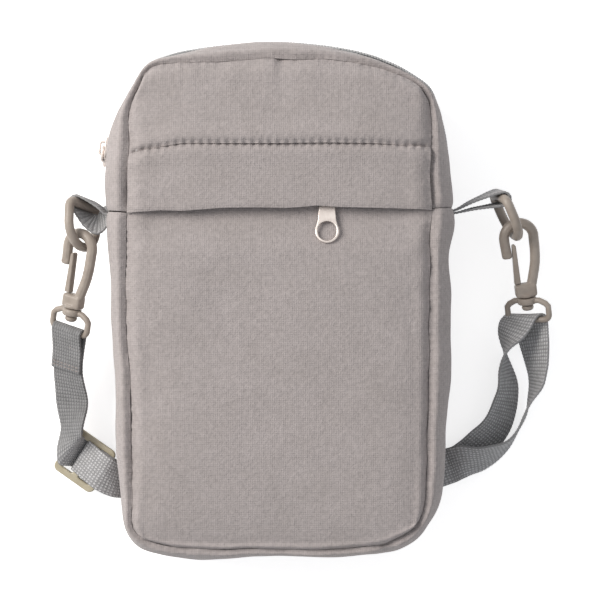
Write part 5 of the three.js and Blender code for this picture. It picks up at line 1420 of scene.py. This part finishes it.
# %% Side tabs
TAB_WRAP_RADIUS, TAB_ROOT_INSET, TAB_LIFT = 2.8, 1.6, 1.8
TAB_ROOT_DROP, TAB_LAYER = 1.375, 0.575
for side, station in (("left", LEFT_SEAM), ("right", RIGHT_SEAM)):
    crest = gusset_point(station, 0)
    outward = math.copysign(1, crest[0])
    ring_origin, bar, _, _ = axes_of("d_ring_" + side)

    def root(layer, out=0.0):
        """A place where a layer goes into the cross seam, or a distance out of it."""
        x = crest[0] - outward * (TAB_ROOT_INSET - out)
        return np.array([x, crest[1] - TAB_ROOT_DROP + layer * TAB_LAYER, crest[2]])

    to_bar = ring_origin - root(0)
    to_bar = unit(to_bar - bar * (to_bar @ bar))
    over = np.cross(bar, to_bar)
    turn = math.copysign(1, over[1])
    turns = math.pi * (np.linspace(0, 1, 9) - 0.5)
    wrap = [ring_origin + TAB_WRAP_RADIUS * (to_bar * math.cos(a) - over * turn * math.sin(a)) for a in turns]
    across = -bar if bar[2] < 0 else bar

    def lead(layer, end):
        """The mark between a layer's root and its end at the ring."""
        middle = root(layer) * 0.55 + end * 0.45 + UP * TAB_LIFT
        if side == "left" and layer < 0:
            return (middle - Y_AXIS * 4.5, UP * 0.7 - Y_AXIS * 0.7, 0.95)
        return (middle, UP * 0.55 + across * 0.45, 0.7)

    lower_root = unit(UP * 0.75 - Y_AXIS * 0.65) if side == "left" else UP
    marks = (
        [(root(1), UP), (root(1, TAB_ROOT_INSET + 0.3), UP, 0.9), lead(1, wrap[0])]
        + [(centre, across, 0.9) for centre in wrap]
        + [lead(-1, wrap[-1]), (root(-1, TAB_ROOT_INSET + 0.3), lower_root, 0.9), (root(-1), lower_root)]
    )
    tab, tab_length = ribbon_piece("tab_webbing_" + side, [(run_through(marks, FINE), True)])
    stand_for(tab, "webbing", "tab_" + side)
    print("tab on the", side + ":", round(tab_length), "mm of webbing")

# %% Sewing threads
def stitch_row(name, places, axes, length, radius, slot="polyester"):
    """Short threads at places, lying along the first of three directions."""
    bpy.ops.mesh.primitive_uv_sphere_add(segments=8, ring_count=6, radius=1)
    one = bpy.context.object
    shape = np.array([v.co for v in one.data.vertices])
    faces = [tuple(p.vertices) for p in one.data.polygons]
    bpy.data.objects.remove(one)
    one_thread = shape * (length / 2, radius, radius) @ np.array(axes)
    points = [one_thread + place for place in places]
    polygons = [tuple(i + k * len(shape) for i in face) for k in range(len(places)) for face in faces]
    return stand_for(mesh_object(name, points, polygons, THREAD), slot)


flap_stitches = []
for x in np.arange(-57.75, 58, STITCH_PITCH):
    height = FLAP_RIM + FLAP_CROWN * crown(x / PANEL_HALF_WIDTH, 64) - 0.75
    flap_stitches.append((x, line_height(STITCH_LINE, x), height))
stitch_row("flap_stitches", flap_stitches, (X_AXIS, Y_AXIS, UP), 2.3, 0.28)

bar, axis, down, front, _ = loop_marks("swivel_loop_left")
sewn_rows = []
for drop, slope in ((4.6, 0.12), (6.0, 0.12), (14.2, 0), (15.6, 0)):
    for t in np.linspace(-6, 6, 7):
        length = drop + slope * t
        sewn_rows.append(bar + down * length + axis * (length / 10 + t) + front * (LAYER / 2 + 0.55))
stitch_row("strap_end_stitches", sewn_rows, (axis, down, front), 1.7, 0.25, "webbing")
print("threads:", len(flap_stitches), "on the flap and", len(sewn_rows), "on the strap's end")
